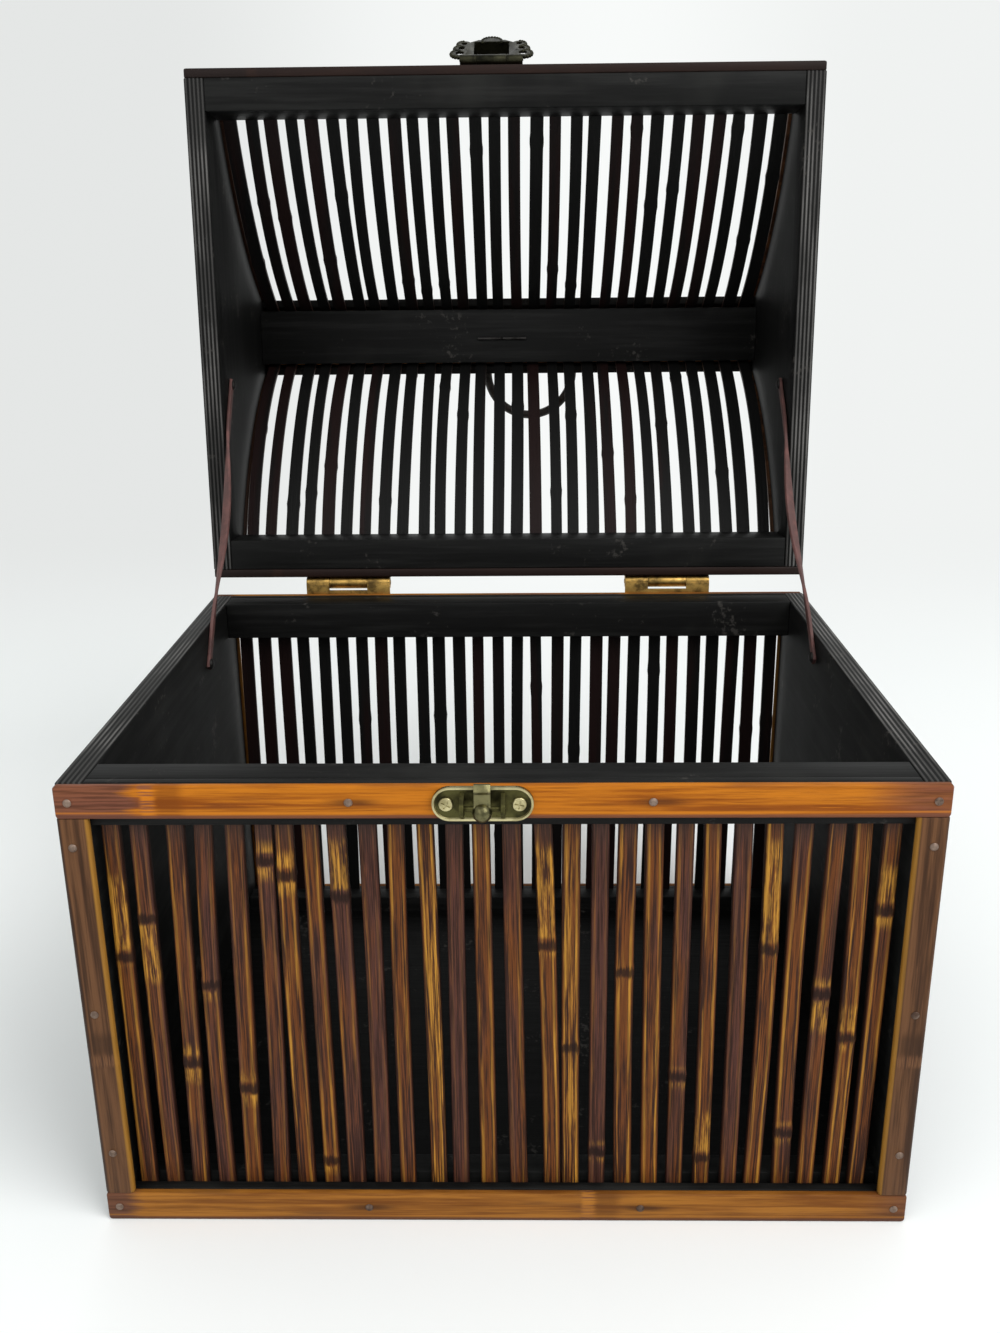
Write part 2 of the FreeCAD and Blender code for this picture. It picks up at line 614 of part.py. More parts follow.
def lid_batten(label, placement):
    """Batten inside the lid's rim, its top hollowed to carry the ends of the slats."""
    inner_y = -val.box_depth / 2 + val.lid_trim_thick + val.lid_batten_depth
    outer_y = -val.box_depth / 2 + val.lid_trim_thick
    body = new_body(label)
    sketch = sketch_on(body, "YZ_Plane", "-" + HALF_INSIDE)
    guide = roof_guide(sketch)
    radius = val.roof_radius + val.fillet_thick + val.slat_thick
    angles = (roof_angle_at_y(radius, outer_y), roof_angle_at_y(radius, inner_y))
    arc = sketch.addGeometry(
        Part.ArcOfCircle(Part.Circle(FreeCAD.Vector(ROOF[0], ROOF[1], 0), Z_AXIS, radius), *angles), False)
    sketch.addConstraint(Sketcher.Constraint("Coincident", guide, 3, arc, 3))
    bind(sketch, Sketcher.Constraint("Radius", arc, radius), "roof_radius + fillet_thick + slat_thick")
    outer_top = on_roof(radius, angles[0])
    inner_top = on_roof(radius, angles[1])
    points = [outer_top, FreeCAD.Vector(outer_y, rim, 0), FreeCAD.Vector(inner_y, rim, 0), inner_top]
    lines = [sketch.addGeometry(Part.LineSegment(points[i], points[i + 1]), False) for i in range(3)]
    joins = ((arc, 1, lines[0], 1), (lines[0], 2, lines[1], 1), (lines[1], 2, lines[2], 1), (lines[2], 2, arc, 2))
    for join in joins:
        sketch.addConstraint(Sketcher.Constraint("Coincident", *join))
    inner = "(%s + lid_batten_depth)" % LID_FRONT
    bind(sketch, Sketcher.Constraint("DistanceX", -1, 1, lines[0], 1, outer_y), LID_FRONT)
    bind(sketch, Sketcher.Constraint("DistanceX", -1, 1, lines[0], 2, outer_y), LID_FRONT)
    bind(sketch, Sketcher.Constraint("DistanceX", -1, 1, lines[1], 2, inner_y), inner)
    bind(sketch, Sketcher.Constraint("DistanceX", -1, 1, lines[2], 2, inner_y), inner)
    bind(sketch, Sketcher.Constraint("DistanceY", -1, 1, lines[0], 2, rim), RIM)
    bind(sketch, Sketcher.Constraint("DistanceY", -1, 1, lines[1], 2, rim), RIM)
    pad(body, sketch, "2 * " + HALF_INSIDE)
    keep(body, label, placement)


def roof_slat():
    """One bent slat of the lid, from behind the eave trim to under the crown cap."""
    eave = -val.box_depth / 2 + val.lid_trim_thick + val.slat_play
    crown = rim + val.crown_height - val.slat_play
    return roof_strip(
        "roof_slat",
        (val.fillet_thick, "fillet_thick"),
        (val.fillet_thick + val.slat_thick, "fillet_thick + slat_thick"),
        ("y", eave, LID_FRONT + " + slat_play"),
        ("z", crown, RIM + " + crown_height - slat_play"),
        "-slat_width / 2",
        "slat_width",
    )


def eave_fillet(label, placement):
    body = roof_strip(
        label,
        (0.0, "0"),
        (val.fillet_thick, "fillet_thick"),
        ("y", -val.box_depth / 2 + val.lid_trim_thick, LID_FRONT),
        ("y", -val.box_depth / 2 + val.lid_trim_thick + val.eave_fillet_depth, LID_FRONT + " + eave_fillet_depth"),
        "-" + HALF_INSIDE,
        "2 * " + HALF_INSIDE,
    )
    keep(body, label, placement)


def crown_fillet():
    top = rim + val.crown_height
    body = new_body("crown_fillet")
    sketch = sketch_on(body, "YZ_Plane", "-" + HALF_INSIDE)
    guide = roof_guide(sketch)
    radii = (val.roof_radius, val.roof_radius + val.fillet_thick)
    words = ("roof_radius", "roof_radius + fillet_thick")
    low_text = RIM + " + crown_height - crown_fillet_height"
    ends = []
    arcs = []
    for radius, text in zip(radii, words):
        angles = (roof_angle_at_z(radius, top - val.crown_fillet_height), roof_angle_at_z(radius, top))
        arc = sketch.addGeometry(
            Part.ArcOfCircle(Part.Circle(FreeCAD.Vector(ROOF[0], ROOF[1], 0), Z_AXIS, radius), *angles), False)
        sketch.addConstraint(Sketcher.Constraint("Coincident", guide, 3, arc, 3))
        bind(sketch, Sketcher.Constraint("Radius", arc, radius), text)
        bind(sketch, Sketcher.Constraint("DistanceY", -1, 1, arc, 1, top - val.crown_fillet_height), low_text)
        bind(sketch, Sketcher.Constraint("DistanceY", -1, 1, arc, 2, top), RIM + " + crown_height")
        arcs.append(arc)
        ends.append([on_roof(radius, angle) for angle in angles])
    for end in (0, 1):
        line = sketch.addGeometry(Part.LineSegment(ends[0][end], ends[1][end]), False)
        sketch.addConstraint(Sketcher.Constraint("Coincident", arcs[0], end + 1, line, 1))
        sketch.addConstraint(Sketcher.Constraint("Coincident", line, 2, arcs[1], end + 1))
    pad(body, sketch, "2 * " + HALF_INSIDE)
    return body


def end_trim():
    """Curved bamboo strip on the edge of an end panel, right-hand front one."""
    return roof_strip(
        "end_trim",
        (-val.trim_thick, "-trim_thick"),
        (0.0, "0"),
        ("y", -val.box_depth / 2 + val.lid_trim_thick, LID_FRONT),
        ("z", rim + val.crown_height - val.slat_play, RIM + " + crown_height - slat_play"),
        "box_width / 2 - post_width",
        "post_width",
    )


def crown_pieces():
    top = RIM + " + crown_height"
    rail = extruded("lid_crown_rail", "YZ_Plane",
                    (("-rail_width / 2", top + " - rail_thick"), ("rail_width / 2", top + " - rail_thick"),
                     ("rail_back_width / 2", top), ("-rail_back_width / 2", top)),
                    "-" + HALF_INSIDE, "2 * " + HALF_INSIDE)
    keep(rail, "lid_crown_rail", LID_OPEN)
    cap = extruded("lid_crown_cap", "XY_Plane",
                   rectangle("-box_width / 2", "-cap_width / 2", "box_width / 2", "cap_width / 2"),
                   top, "cap_thick")
    round_edges(cap, "trim_round", Z_AXIS)
    keep(cap, "lid_crown_cap", LID_OPEN)


# Hinges

def knuckles(body, centre_y, centre_z, radius, bore, spans):
    """Bored barrels about a pin along X, one for each (start, length)."""
    for start, length in spans:
        sketch = sketch_on(body, "YZ_Plane", start)
        circle(sketch, centre_y, centre_z, radius)
        circle(sketch, centre_y, centre_z, bore)
        pad(body, sketch, length)


def hinge_leaf(name, up):
    """Leaf with castellated upper edge; up is -1 for the box leaf and 1 for the lid leaf."""
    half = "hinge_length / 2"
    middle = "knuckle_length / 2"
    notch = "%d * (knuckle_radius + knuckle_relief)" % up
    free = "%s + %d * hinge_leaf_height" % (AXIS_Z, up)
    bend = "%s + %s" % (AXIS_Z, notch)
    reach = "lid_screw_reach" if up > 0 else "hinge_screw_reach"
    if up < 0:
        corners = (
            ("-" + half, free), (half, free), (half, AXIS_Z), (middle + " + knuckle_gap", AXIS_Z),
            (middle + " + knuckle_gap", bend), ("-%s - knuckle_gap" % middle, bend),
            ("-%s - knuckle_gap" % middle, AXIS_Z), ("-" + half, AXIS_Z),
        )
        side = "(hinge_length - knuckle_length) / 2 - knuckle_gap"
        spans = (("-" + half, side), (middle + " + knuckle_gap", side))
    else:
        corners = (
            ("-" + half, free), (half, free), (half, bend), (middle, bend),
            (middle, AXIS_Z), ("-" + middle, AXIS_Z), ("-" + middle, bend), ("-" + half, bend),
        )
        spans = (("-" + middle, "knuckle_length"),)
    screw_z = "%s + %d * %s" % (AXIS_Z, up, reach)
    holes = [("%d * hinge_screw_spacing / 2" % side_, screw_z, "screw_shank + pin_play") for side_ in (-1, 1)]
    body = extruded(name, "XZ_Plane", corners, "-box_depth / 2 - hinge_leaf_thick", "hinge_leaf_thick", holes)
    knuckles(body, AXIS_Y, AXIS_Z, "knuckle_radius", "hinge_pin_radius + pin_play", spans)
    return body


def rod(name, start, length, centre_y, centre_z, radius):
    """A plain pin along X."""
    pin = doc.addObject("Part::Cylinder", name)
    pin.setExpression("Radius", bound(radius))
    pin.setExpression("Height", bound(length))
    pin.Placement = FreeCAD.Placement(FreeCAD.Vector(0, 0, 0), FreeCAD.Rotation(Y_AXIS, 90))
    pin.setExpression("Placement.Base.x", bound(start))
    pin.setExpression("Placement.Base.y", bound(centre_y))
    pin.setExpression("Placement.Base.z", bound(centre_z))
    return pin


# Latch

def latch_plate():
    body = new_body("latch_plate")
    outline = rectangle("latch_x - latch_width / 2", LATCH_Z + " - latch_height / 2",
                        "latch_x + latch_width / 2", LATCH_Z + " + latch_height / 2")
    sketch = sketch_on(body, "XZ_Plane", "box_depth / 2")
    polygon(sketch, outline)
    for side in (-1, 1):
        circle(sketch, "latch_x + %d * latch_screw_spacing / 2" % side, LATCH_Z, "screw_shank + pin_play")
    pad(body, sketch, "latch_thick")
    round_edges(body, "latch_round", Y_AXIS)
    root = "-box_depth / 2 - latch_thick / 2"
    for start in ("latch_x - ear_span / 2", "latch_x + ear_span / 2 - ear_thick"):
        ear = sketch_on(body, "YZ_Plane", start)
        polygon(ear, (
            (root, LATCH_Z + " - ear_root"),
            (root, LATCH_Z + " + ear_root"),
            (LATCH_PIN_Y, LATCH_Z + " + ear_radius"),
            (LATCH_PIN_Y + " - ear_corner", LATCH_Z + " + ear_corner"),
            (LATCH_PIN_Y + " - ear_radius", LATCH_Z),
            (LATCH_PIN_Y + " - ear_corner", LATCH_Z + " - ear_corner"),
            (LATCH_PIN_Y, LATCH_Z + " - ear_radius"),
        ))
        circle(ear, LATCH_PIN_Y, LATCH_Z, "latch_pin_radius + pin_play")
        pad(body, ear, "ear_thick")
    keep(body, "latch_plate")


def latch_lever():
    """Rocking lever: hub on the pin, neck with a hooked tip above it and a thumb ball below."""
    body = new_body("latch_lever")
    start = "latch_x - lever_width / 2"
    hub = sketch_on(body, "YZ_Plane", start)
    circle(hub, LATCH_PIN_Y, LATCH_Z, "lever_hub")
    pad(body, hub, "lever_width")
    neck = sketch_on(body, "YZ_Plane", start)
    back = LATCH_PIN_Y + " + lever_back"
    front = LATCH_PIN_Y + " - lever_front"
    top = LATCH_Z + " + lever_reach"
    polygon(neck, (
        (back, LATCH_Z + " - lever_back"),
        (back, top + " - hook_depth"),
        (LATCH_PIN_Y, top),
        (LATCH_PIN_Y + " - lever_back", top),
        (LATCH_PIN_Y + " - hook_nose", top + " - hook_slope"),
        (front, top + " - hook_depth"),
        (front, LATCH_Z + " - lever_back"),
    ))
    pad(body, neck, "lever_width")
    ball = body.newObject("PartDesign::AdditiveSphere", "thumb_ball")
    ball.setExpression("Radius", bound("ball_radius"))
    ball.setExpression("Placement.Base.x", bound("latch_x"))
    ball.setExpression("Placement.Base.y", bound(LATCH_PIN_Y + " - ball_out"))
    ball.setExpression("Placement.Base.z", bound(LATCH_Z + " - ball_drop"))
    body.Tip = ball
    bore = sketch_on(body, "YZ_Plane", "latch_x - ball_radius")
    circle(bore, LATCH_PIN_Y, LATCH_Z, "latch_pin_radius + pin_play")
    pocket(body, bore, "2 * ball_radius", backwards=True)
    keep(body, "latch_lever")


def latch_spring():
    """Bent leaf spring between the plate and the lever's hub."""
    face = "-box_depth / 2 - latch_thick"
    tip = LATCH_PIN_Y + " + lever_hub + spring_gap"
    body = extruded("latch_spring", "YZ_Plane", (
        (face, LATCH_Z + " + spring_rise"),
        (face + " - spring_sheet", LATCH_Z + " + spring_rise"),
        (face + " - spring_sheet", LATCH_Z + " + spring_bend"),
        (tip, LATCH_Z + " - spring_tip + spring_sheet"),
        (tip, LATCH_Z + " - spring_tip"),
        (face, LATCH_Z + " + spring_bend - spring_sheet"),
    ), "latch_x - spring_width / 2", "spring_width")
    keep(body, "latch_spring")


# Hasp

# Scrolls beside the flap: reach beyond it in scroll radii, drop below the pin in mm, share of the full size
SCROLLS = ((0.75, 7.2, 1.0), (0.75, 13.2, 0.8), (0.4, 18.6, 0.75))


def hasp_leaf():
    half = "hasp_leaf_width / 2"
    neck = "hasp_neck / 2 + knuckle_gap"
    free = HASP_Z + " + hasp_leaf_height"
    bend = HASP_Z + " + hasp_knuckle + knuckle_relief"
    corners = (
        ("latch_x - " + half, HASP_Z), ("latch_x - %s" % half, free), ("latch_x + " + half, free),
        ("latch_x + " + half, HASP_Z), ("latch_x + " + neck, HASP_Z), ("latch_x + " + neck, bend),
        ("latch_x - hasp_neck / 2 - knuckle_gap", bend), ("latch_x - hasp_neck / 2 - knuckle_gap", HASP_Z),
    )
    holes = [("latch_x + %d * hasp_screw_spacing / 2" % side, HASP_Z + " + hasp_leaf_height - hasp_screw_drop",
              "screw_shank + pin_play") for side in (-1, 1)]
    body = extruded("hasp_leaf", "XZ_Plane", corners, "box_depth / 2", "hasp_sheet", holes)
    side = "(hasp_leaf_width - hasp_neck) / 2 - knuckle_gap"
    spans = (("latch_x - " + half, side), ("latch_x + " + neck, side))
    knuckles(body, HASP_Y, HASP_Z, "hasp_knuckle", "hasp_pin_radius + pin_play", spans)
    keep(body, "hasp_leaf", LID_OPEN)


def hasp_flap():
    """Flap with a slot for the latch, a round tip and open scrolls, drawn as it hangs on the closed box."""
    body = new_body("hasp_flap")
    sheet_back = "-(%s) - hasp_sheet / 2" % HASP_Y
    sketch = sketch_on(body, "XZ_Plane", sheet_back)
    neck = "hasp_neck / 2"
    wide = "hasp_width / 2"
    shoulder = HASP_Z + " - hasp_knuckle - knuckle_relief"
    polygon(sketch, (
        ("latch_x - " + neck, HASP_Z),
        ("latch_x - " + neck, shoulder),
        ("latch_x - " + wide, shoulder + " - hasp_corner"),
        ("latch_x - " + wide, HASP_Z + " - hasp_length + 2 * hasp_corner"),
        ("latch_x - hasp_end_width / 2", HASP_Z + " - hasp_length"),
        ("latch_x + hasp_end_width / 2", HASP_Z + " - hasp_length"),
        ("latch_x + " + wide, HASP_Z + " - hasp_length + 2 * hasp_corner"),
        ("latch_x + " + wide, shoulder + " - hasp_corner"),
        ("latch_x + " + neck, shoulder),
        ("latch_x + " + neck, HASP_Z),
    ))
    pad(body, sketch, "hasp_sheet")
    tip = sketch_on(body, "XZ_Plane", sheet_back)
    circle(tip, "latch_x", HASP_Z + " - hasp_length + hasp_corner / 2", "hasp_tip_radius")
    pad(body, tip, "hasp_sheet")
    for side in (-1, 1):
        for reach, drop, share in SCROLLS:
            scroll = sketch_on(body, "XZ_Plane", sheet_back)
            across = "latch_x + %d * (hasp_width / 2 + %s * scroll_radius * %s)" % (side, reach, share)
            circle(scroll, across, HASP_Z + " - %s" % drop, "scroll_radius * %s" % share)
            circle(scroll, across, HASP_Z + " - %s" % drop, "scroll_eye * %s" % share)
            pad(body, scroll, "hasp_sheet")
    knuckles(body, HASP_Y, HASP_Z, "hasp_knuckle", "hasp_pin_radius + pin_play",
             (("latch_x - " + neck, "hasp_neck"),))
    bore = sketch_on(body, "YZ_Plane", "latch_x - " + neck)
    circle(bore, HASP_Y, HASP_Z, "hasp_pin_radius + pin_play")
    pocket(body, bore, "hasp_neck", backwards=True)
    slot = sketch_on(body, "XZ_Plane", sheet_back)
    polygon(slot, rectangle(
        "latch_x - hasp_slot_width / 2", HASP_Z + " - hasp_slot_top - hasp_slot_height",
        "latch_x + hasp_slot_width / 2", HASP_Z + " - hasp_slot_top"))
    pocket(body, slot, "hasp_sheet", backwards=True)
    keep(body, "hasp_flap", HASP_BACK)


# Ring pull and split pin

eye_point = FreeCAD.Vector(
    val.ring_pin_x, val.ring_pin_y,
    rim + val.crown_height + val.cap_thick + val.eye_radius + val.eye_wire)
ring_radial = FreeCAD.Vector(math.sin(math.radians(val.ring_turn)), math.cos(math.radians(val.ring_turn)), 0)
ring_tangent = FreeCAD.Vector(ring_radial.y, -ring_radial.x, 0)


def ring_pull():
    """Iron ring through the eye of the split pin, hanging off the crown of the open lid."""
    centre = eye_point + ring_radial * val.ring_radius
    ring = doc.addObject("Part::Torus", "ring_pull")
    ring.setExpression("Radius1", bound("ring_radius"))
    ring.setExpression("Radius2", bound("ring_rod"))
    lifted = turned(ring_tangent, val.ring_lift_turn, eye_point)
    keep(ring, "ring_pull", LID_OPEN.multiply(lifted).multiply(FreeCAD.Placement(centre, FreeCAD.Rotation())))


def ring_staple():
    """Split pin: an eye over the crown cap and two legs clenched on the crown rail."""
    eye = Part.makeTorus(val.eye_radius, val.eye_wire, eye_point, ring_tangent)
    through = val.cap_thick + val.rail_thick
    top = rim + val.crown_height + val.cap_thick
    solids = [eye]
    for side in (-1, 1):
        leg_x = val.ring_pin_x + side * val.leg_stand
        drop = val.eye_wire + through + val.bend_radius
        foot = FreeCAD.Vector(leg_x, val.ring_pin_y, top + val.eye_wire)
        solids.append(Part.makeCylinder(val.eye_wire, drop, foot, FreeCAD.Vector(0, 0, -1)))
        bend = FreeCAD.Vector(leg_x, val.ring_pin_y, top + val.eye_wire - drop)
        solids.append(Part.makeSphere(val.bend_radius, bend))
        solids.append(Part.makeCylinder(val.eye_wire, val.leg_length, bend, FreeCAD.Vector(side, 0, 0)))
    staple = doc.addObject("Part::Feature", "ring_staple")
    staple.Shape = solids[0].multiFuse(solids[1:]).removeSplitter()
    keep(staple, "ring_staple", LID_OPEN)


# Stay straps

def lid_point(side, into, up):
    """A point on the inner face of the open lid's end panel."""
    inside = side * (val.box_width / 2 - val.panel_ply)
    return LID_OPEN.multVec(FreeCAD.Vector(inside, val.box_depth / 2 - into, rim + up))


STRAPS = (
    ("left", -1, val.left_tack_y, val.box_height - val.left_tack_down, val.left_lid_tack_in, val.left_lid_tack_up),
    ("right", 1, val.right_tack_y, val.box_height - val.right_tack_down, val.right_lid_tack_in, val.right_lid_tack_up),
)


def strap(name, side, tack_y, tack_z, into, up):
    """Leather strip from the tack in the box to the tack in the open lid, along the inner faces."""
    inside = side * (val.box_width / 2 - val.panel_ply)
    low = FreeCAD.Vector(inside, tack_y, tack_z)
    run = lid_point(side, into, up) - low
    length = run.Length
    slope = math.degrees(math.atan2(run.z, run.y))
    body = new_body("strap_" + name)
    sketch = sketch_on(body, "YZ_Plane", "0")
    overhang = val.strap_width
    half = val.strap_width / 2
    corners = [FreeCAD.Vector(-overhang, -half, 0), FreeCAD.Vector(length + overhang, -half, 0),
               FreeCAD.Vector(length + overhang, half, 0), FreeCAD.Vector(-overhang, half, 0)]
    for i in range(4):
        sketch.addGeometry(Part.LineSegment(corners[i], corners[(i + 1) % 4]), False)
    for i in range(4):
        sketch.addConstraint(Sketcher.Constraint("Coincident", i, 2, (i + 1) % 4, 1))
    for i, corner in enumerate(corners):
        along = length + overhang if corner.x > 0 else -overhang
        sketch.addConstraint(Sketcher.Constraint("DistanceX", -1, 1, i, 1, along))
        sign = "-" if corner.y < 0 else ""
        bind(sketch, Sketcher.Constraint("DistanceY", -1, 1, i, 1, corner.y), sign + "strap_width / 2")
    for place in (0.0, length):
        hole = sketch.addGeometry(Part.Circle(FreeCAD.Vector(place, 0, 0), Z_AXIS, val.strap_hole), False)
        bind(sketch, Sketcher.Constraint("Radius", hole, val.strap_hole), "strap_hole")
        sketch.addConstraint(Sketcher.Constraint("DistanceX", -1, 1, hole, 3, place))
        sketch.addConstraint(Sketcher.Constraint("DistanceY", -1, 1, hole, 3, 0))
    pad(body, sketch, "strap_thick")
    inner_face = inside - side * val.strap_stand - (val.strap_thick if side > 0 else 0)
    keep(body, "strap_" + name,
         FreeCAD.Placement(FreeCAD.Vector(inner_face, tack_y, tack_z), FreeCAD.Rotation(X_AXIS, slope)))


def tack_place(side, point):
    """A tack's head on the strap, its shank into the panel."""
    inset = val.strap_stand + val.strap_thick + val.tack_seat
    turn = FreeCAD.Rotation(Z_AXIS, -90 * side)
    return FreeCAD.Placement(FreeCAD.Vector(point.x - side * inset, point.y, point.z), turn)


# Fasteners

def face_nail_places():
    """Nails of one long face: trims above and below, posts at the sides."""
    front = -val.box_depth / 2
    edge = val.box_width / 2 - val.panel_ply / 2
    places = []
    for height in (val.trim_height / 2, val.box_height - val.trim_height / 2):
        for across in (-edge, -edge * val.nail_share, edge * val.nail_share, edge):
            places.append(at(across, front, height))
    for height in POST_NAILS:
        for side in (-1, 1):
            places.append(at(side * edge, front, height * val.box_height))
    return places


def lid_nail_places():
    """Nails of the lid's rim trim and eave trim, front and back."""
    front = -val.box_depth / 2
    edge = val.box_width / 2 - val.panel_ply / 2
    places = []
    for turn in (0, 180):
        swing = turned(Z_AXIS, turn, FreeCAD.Vector(0, 0, 0))
        for height in (val.trim_height / 2, val.eave_nail_up):
            for across in (-edge, -edge * val.nail_share, edge * val.nail_share, edge):
                places.append(swing.multiply(at(across, front, rim + height)))
    return places


def hinge_screw_places(up, reach):
    back = val.box_depth / 2 + val.hinge_leaf_thick
    height = val.box_height + val.hinge_rise + up * reach
    places = []
    for hinge in (-1, 1):
        for screw in (-1, 1):
            across = hinge * val.hinge_spacing / 2 + screw * val.hinge_screw_spacing / 2
            places.append(at(across, back, height, FreeCAD.Rotation(Z_AXIS, 180)))
    return places


def build():
    side_panel("side_panel_left", -1)
    side_panel("side_panel_right", 1)
    bottom_panel()
    nail = round_head("nail", "nail_head", "nail_dome", "nail_shank", "nail_length")
    screw = round_head("screw", "screw_head", "screw_dome", "screw_shank", "screw_length")
    tack = round_head("tack", "tack_head", "tack_dome", "nail_shank", "nail_length")
    flat = flat_slat()
    bent = roof_slat()
    trim = end_trim()
    for face, on_box, on_lid in (("front", AS_MADE, LID_OPEN), ("back", HALF_TURN, LID_OPEN_BACK)):
        box_battens(face, on_box)
        box_fillets(face, on_box)
        long_trim(face + "_top_trim", "box_height - trim_height", "trim_thick", on_box)
        long_trim(face + "_bottom_trim", "0", "trim_thick", on_box)
        hand = 1 if face == "front" else -1
        corner_post(face + "_left_post", -hand, on_box)
        corner_post(face + "_right_post", hand, on_box)
        recess = -val.box_depth / 2 + val.trim_thick + val.fillet_thick + val.slat_thick
        group(face + "_slats", flat, [at(x, recess, 0) for x in slat_stations()], on_box)
        group(face + "_nails", nail, face_nail_places(), on_box)
        lid_batten("lid_%s_batten" % face, on_lid)
        long_trim("lid_%s_rim_trim" % face, RIM, "lid_trim_thick", on_lid)
        long_trim("lid_%s_eave_trim" % face, RIM + " + trim_height", "lid_trim_thick", on_lid)
        eave_fillet("lid_%s_eave_fillet" % face, on_lid)
        group("lid_%s_slats" % face, bent, [at(x, 0, 0) for x in slat_stations()], on_lid)
    end_panel("lid_end_left", -1)
    end_panel("lid_end_right", 1)
    crown_pieces()
    group("lid_crown_fillets", crown_fillet(), [AS_MADE, HALF_TURN], LID_OPEN)
    across = at(val.post_width - val.box_width, 0, 0)
    corners = [AS_MADE, across, HALF_TURN, HALF_TURN.multiply(across)]
    group("lid_end_trims", trim, corners, LID_OPEN)
    group("lid_nails", nail, lid_nail_places(), LID_OPEN)
    hinges = [at(side * val.hinge_spacing / 2, 0, 0) for side in (-1, 1)]
    group("hinge_box_leaves", hinge_leaf("box_leaf", -1), hinges, AS_MADE)
    group("hinge_lid_leaves", hinge_leaf("lid_leaf", 1), hinges, LID_OPEN)
    pin = rod("hinge_rod", "-hinge_length / 2 - pin_proud", "hinge_length + 2 * pin_proud", AXIS_Y, AXIS_Z,
              "hinge_pin_radius")
    group("hinge_pins", pin, hinges, AS_MADE)
    group("hinge_box_screws", screw, hinge_screw_places(-1, val.hinge_screw_reach), AS_MADE)
    group("hinge_lid_screws", screw, hinge_screw_places(1, val.lid_screw_reach), LID_OPEN)
    latch_plate()
    latch_lever()
    latch_spring()
    keep(rod("latch_pin", "latch_x - ear_span / 2 - pin_proud", "ear_span + 2 * pin_proud", LATCH_PIN_Y, LATCH_Z,
             "latch_pin_radius"), "latch_pin")
    latch_z = val.box_height - val.trim_height / 2
    latch_face = -val.box_depth / 2 - val.latch_thick
    latch_screws = [at(val.latch_x + side * val.latch_screw_spacing / 2, latch_face, latch_z) for side in (-1, 1)]
    group("latch_screws", screw, latch_screws, AS_MADE)
    hasp_leaf()
    hasp_flap()
    hasp_pin = rod("hasp_rod", "latch_x - hasp_leaf_width / 2 - pin_proud", "hasp_leaf_width + 2 * pin_proud",
                   HASP_Y, HASP_Z, "hasp_pin_radius")
    group("hasp_pin", hasp_pin, [AS_MADE], LID_OPEN)
    hasp_face = -val.box_depth / 2 - val.hasp_sheet
    hasp_screw_z = hasp_point.z + val.hasp_leaf_height - val.hasp_screw_drop
    hasp_screws = [at(val.latch_x + side * val.hasp_screw_spacing / 2, hasp_face, hasp_screw_z) for side in (-1, 1)]
    group("hasp_screws", screw, hasp_screws, LID_OPEN)
    ring_pull()
    ring_staple()
    for entry in STRAPS:
        strap(*entry)
    inside = val.box_width / 2 - val.panel_ply
    box_tacks = [tack_place(side, FreeCAD.Vector(side * inside, y, z)) for name, side, y, z, into, up in STRAPS]
    group("strap_box_tacks", tack, box_tacks, AS_MADE)
    lid_tacks = [tack_place(side, lid_point(side, into, up)) for name, side, y, z, into, up in STRAPS]
    group("strap_lid_tacks", tack, lid_tacks, AS_MADE)


build()
doc.recompute()

for item in doc.Objects:
    if "Invalid" in item.State or "Error" in item.State:
        raise RuntimeError("%s is %s" % (item.Label, item.State))

os.makedirs("parts", exist_ok=True)
for piece in pieces:
    shape = piece.Shape
    if shape.isNull() or not shape.isValid():
        raise RuntimeError("bad shape in " + piece.Label)
    shape.exportStep(os.path.join("parts", piece.Label + ".step"))
    print("%-24s solids %3d volume %10.1f" % (piece.Label, len(shape.Solids), shape.Volume))
print("nodes", len(pieces))
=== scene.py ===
import json
import math
import random

import bmesh
import bpy
from bpy.props import FloatProperty, FloatVectorProperty, IntProperty, PointerProperty
from mathutils import Matrix, Vector

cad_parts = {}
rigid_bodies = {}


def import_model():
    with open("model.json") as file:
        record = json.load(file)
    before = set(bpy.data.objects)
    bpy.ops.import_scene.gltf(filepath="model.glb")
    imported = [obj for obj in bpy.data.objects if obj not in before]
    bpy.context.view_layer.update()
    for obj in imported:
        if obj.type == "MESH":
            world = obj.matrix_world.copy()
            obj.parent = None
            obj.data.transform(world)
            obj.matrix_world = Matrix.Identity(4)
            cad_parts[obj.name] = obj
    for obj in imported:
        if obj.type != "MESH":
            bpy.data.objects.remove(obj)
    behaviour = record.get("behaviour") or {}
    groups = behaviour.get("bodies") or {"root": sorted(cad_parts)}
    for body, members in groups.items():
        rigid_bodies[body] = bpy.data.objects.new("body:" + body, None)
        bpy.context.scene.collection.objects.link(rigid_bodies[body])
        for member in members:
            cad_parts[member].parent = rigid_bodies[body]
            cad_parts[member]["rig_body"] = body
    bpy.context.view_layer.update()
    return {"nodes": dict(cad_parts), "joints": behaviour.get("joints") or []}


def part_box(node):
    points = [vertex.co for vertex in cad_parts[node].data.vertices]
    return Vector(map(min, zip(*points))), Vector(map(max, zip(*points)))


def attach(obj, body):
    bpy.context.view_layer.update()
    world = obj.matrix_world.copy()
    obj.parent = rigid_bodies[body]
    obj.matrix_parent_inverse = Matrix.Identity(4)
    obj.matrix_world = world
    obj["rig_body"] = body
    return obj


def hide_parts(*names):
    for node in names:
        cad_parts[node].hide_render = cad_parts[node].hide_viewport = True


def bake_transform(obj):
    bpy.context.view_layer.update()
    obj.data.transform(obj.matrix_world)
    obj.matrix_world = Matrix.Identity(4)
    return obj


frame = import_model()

bl_info = {
    "name": "Bamboo Slat Chest",
    "version": (1, 0, 0),
    "blender": (4, 5, 0),
    "location": "3D View > Sidebar > Chest",
    "description": "Dresses the packed chest of burnt bamboo slats and sets its stage",
    "category": "Object",
}

JOINTS = {joint["name"]: joint for joint in frame["joints"]}
MM = 0.001
FRAME_MM = 36.0

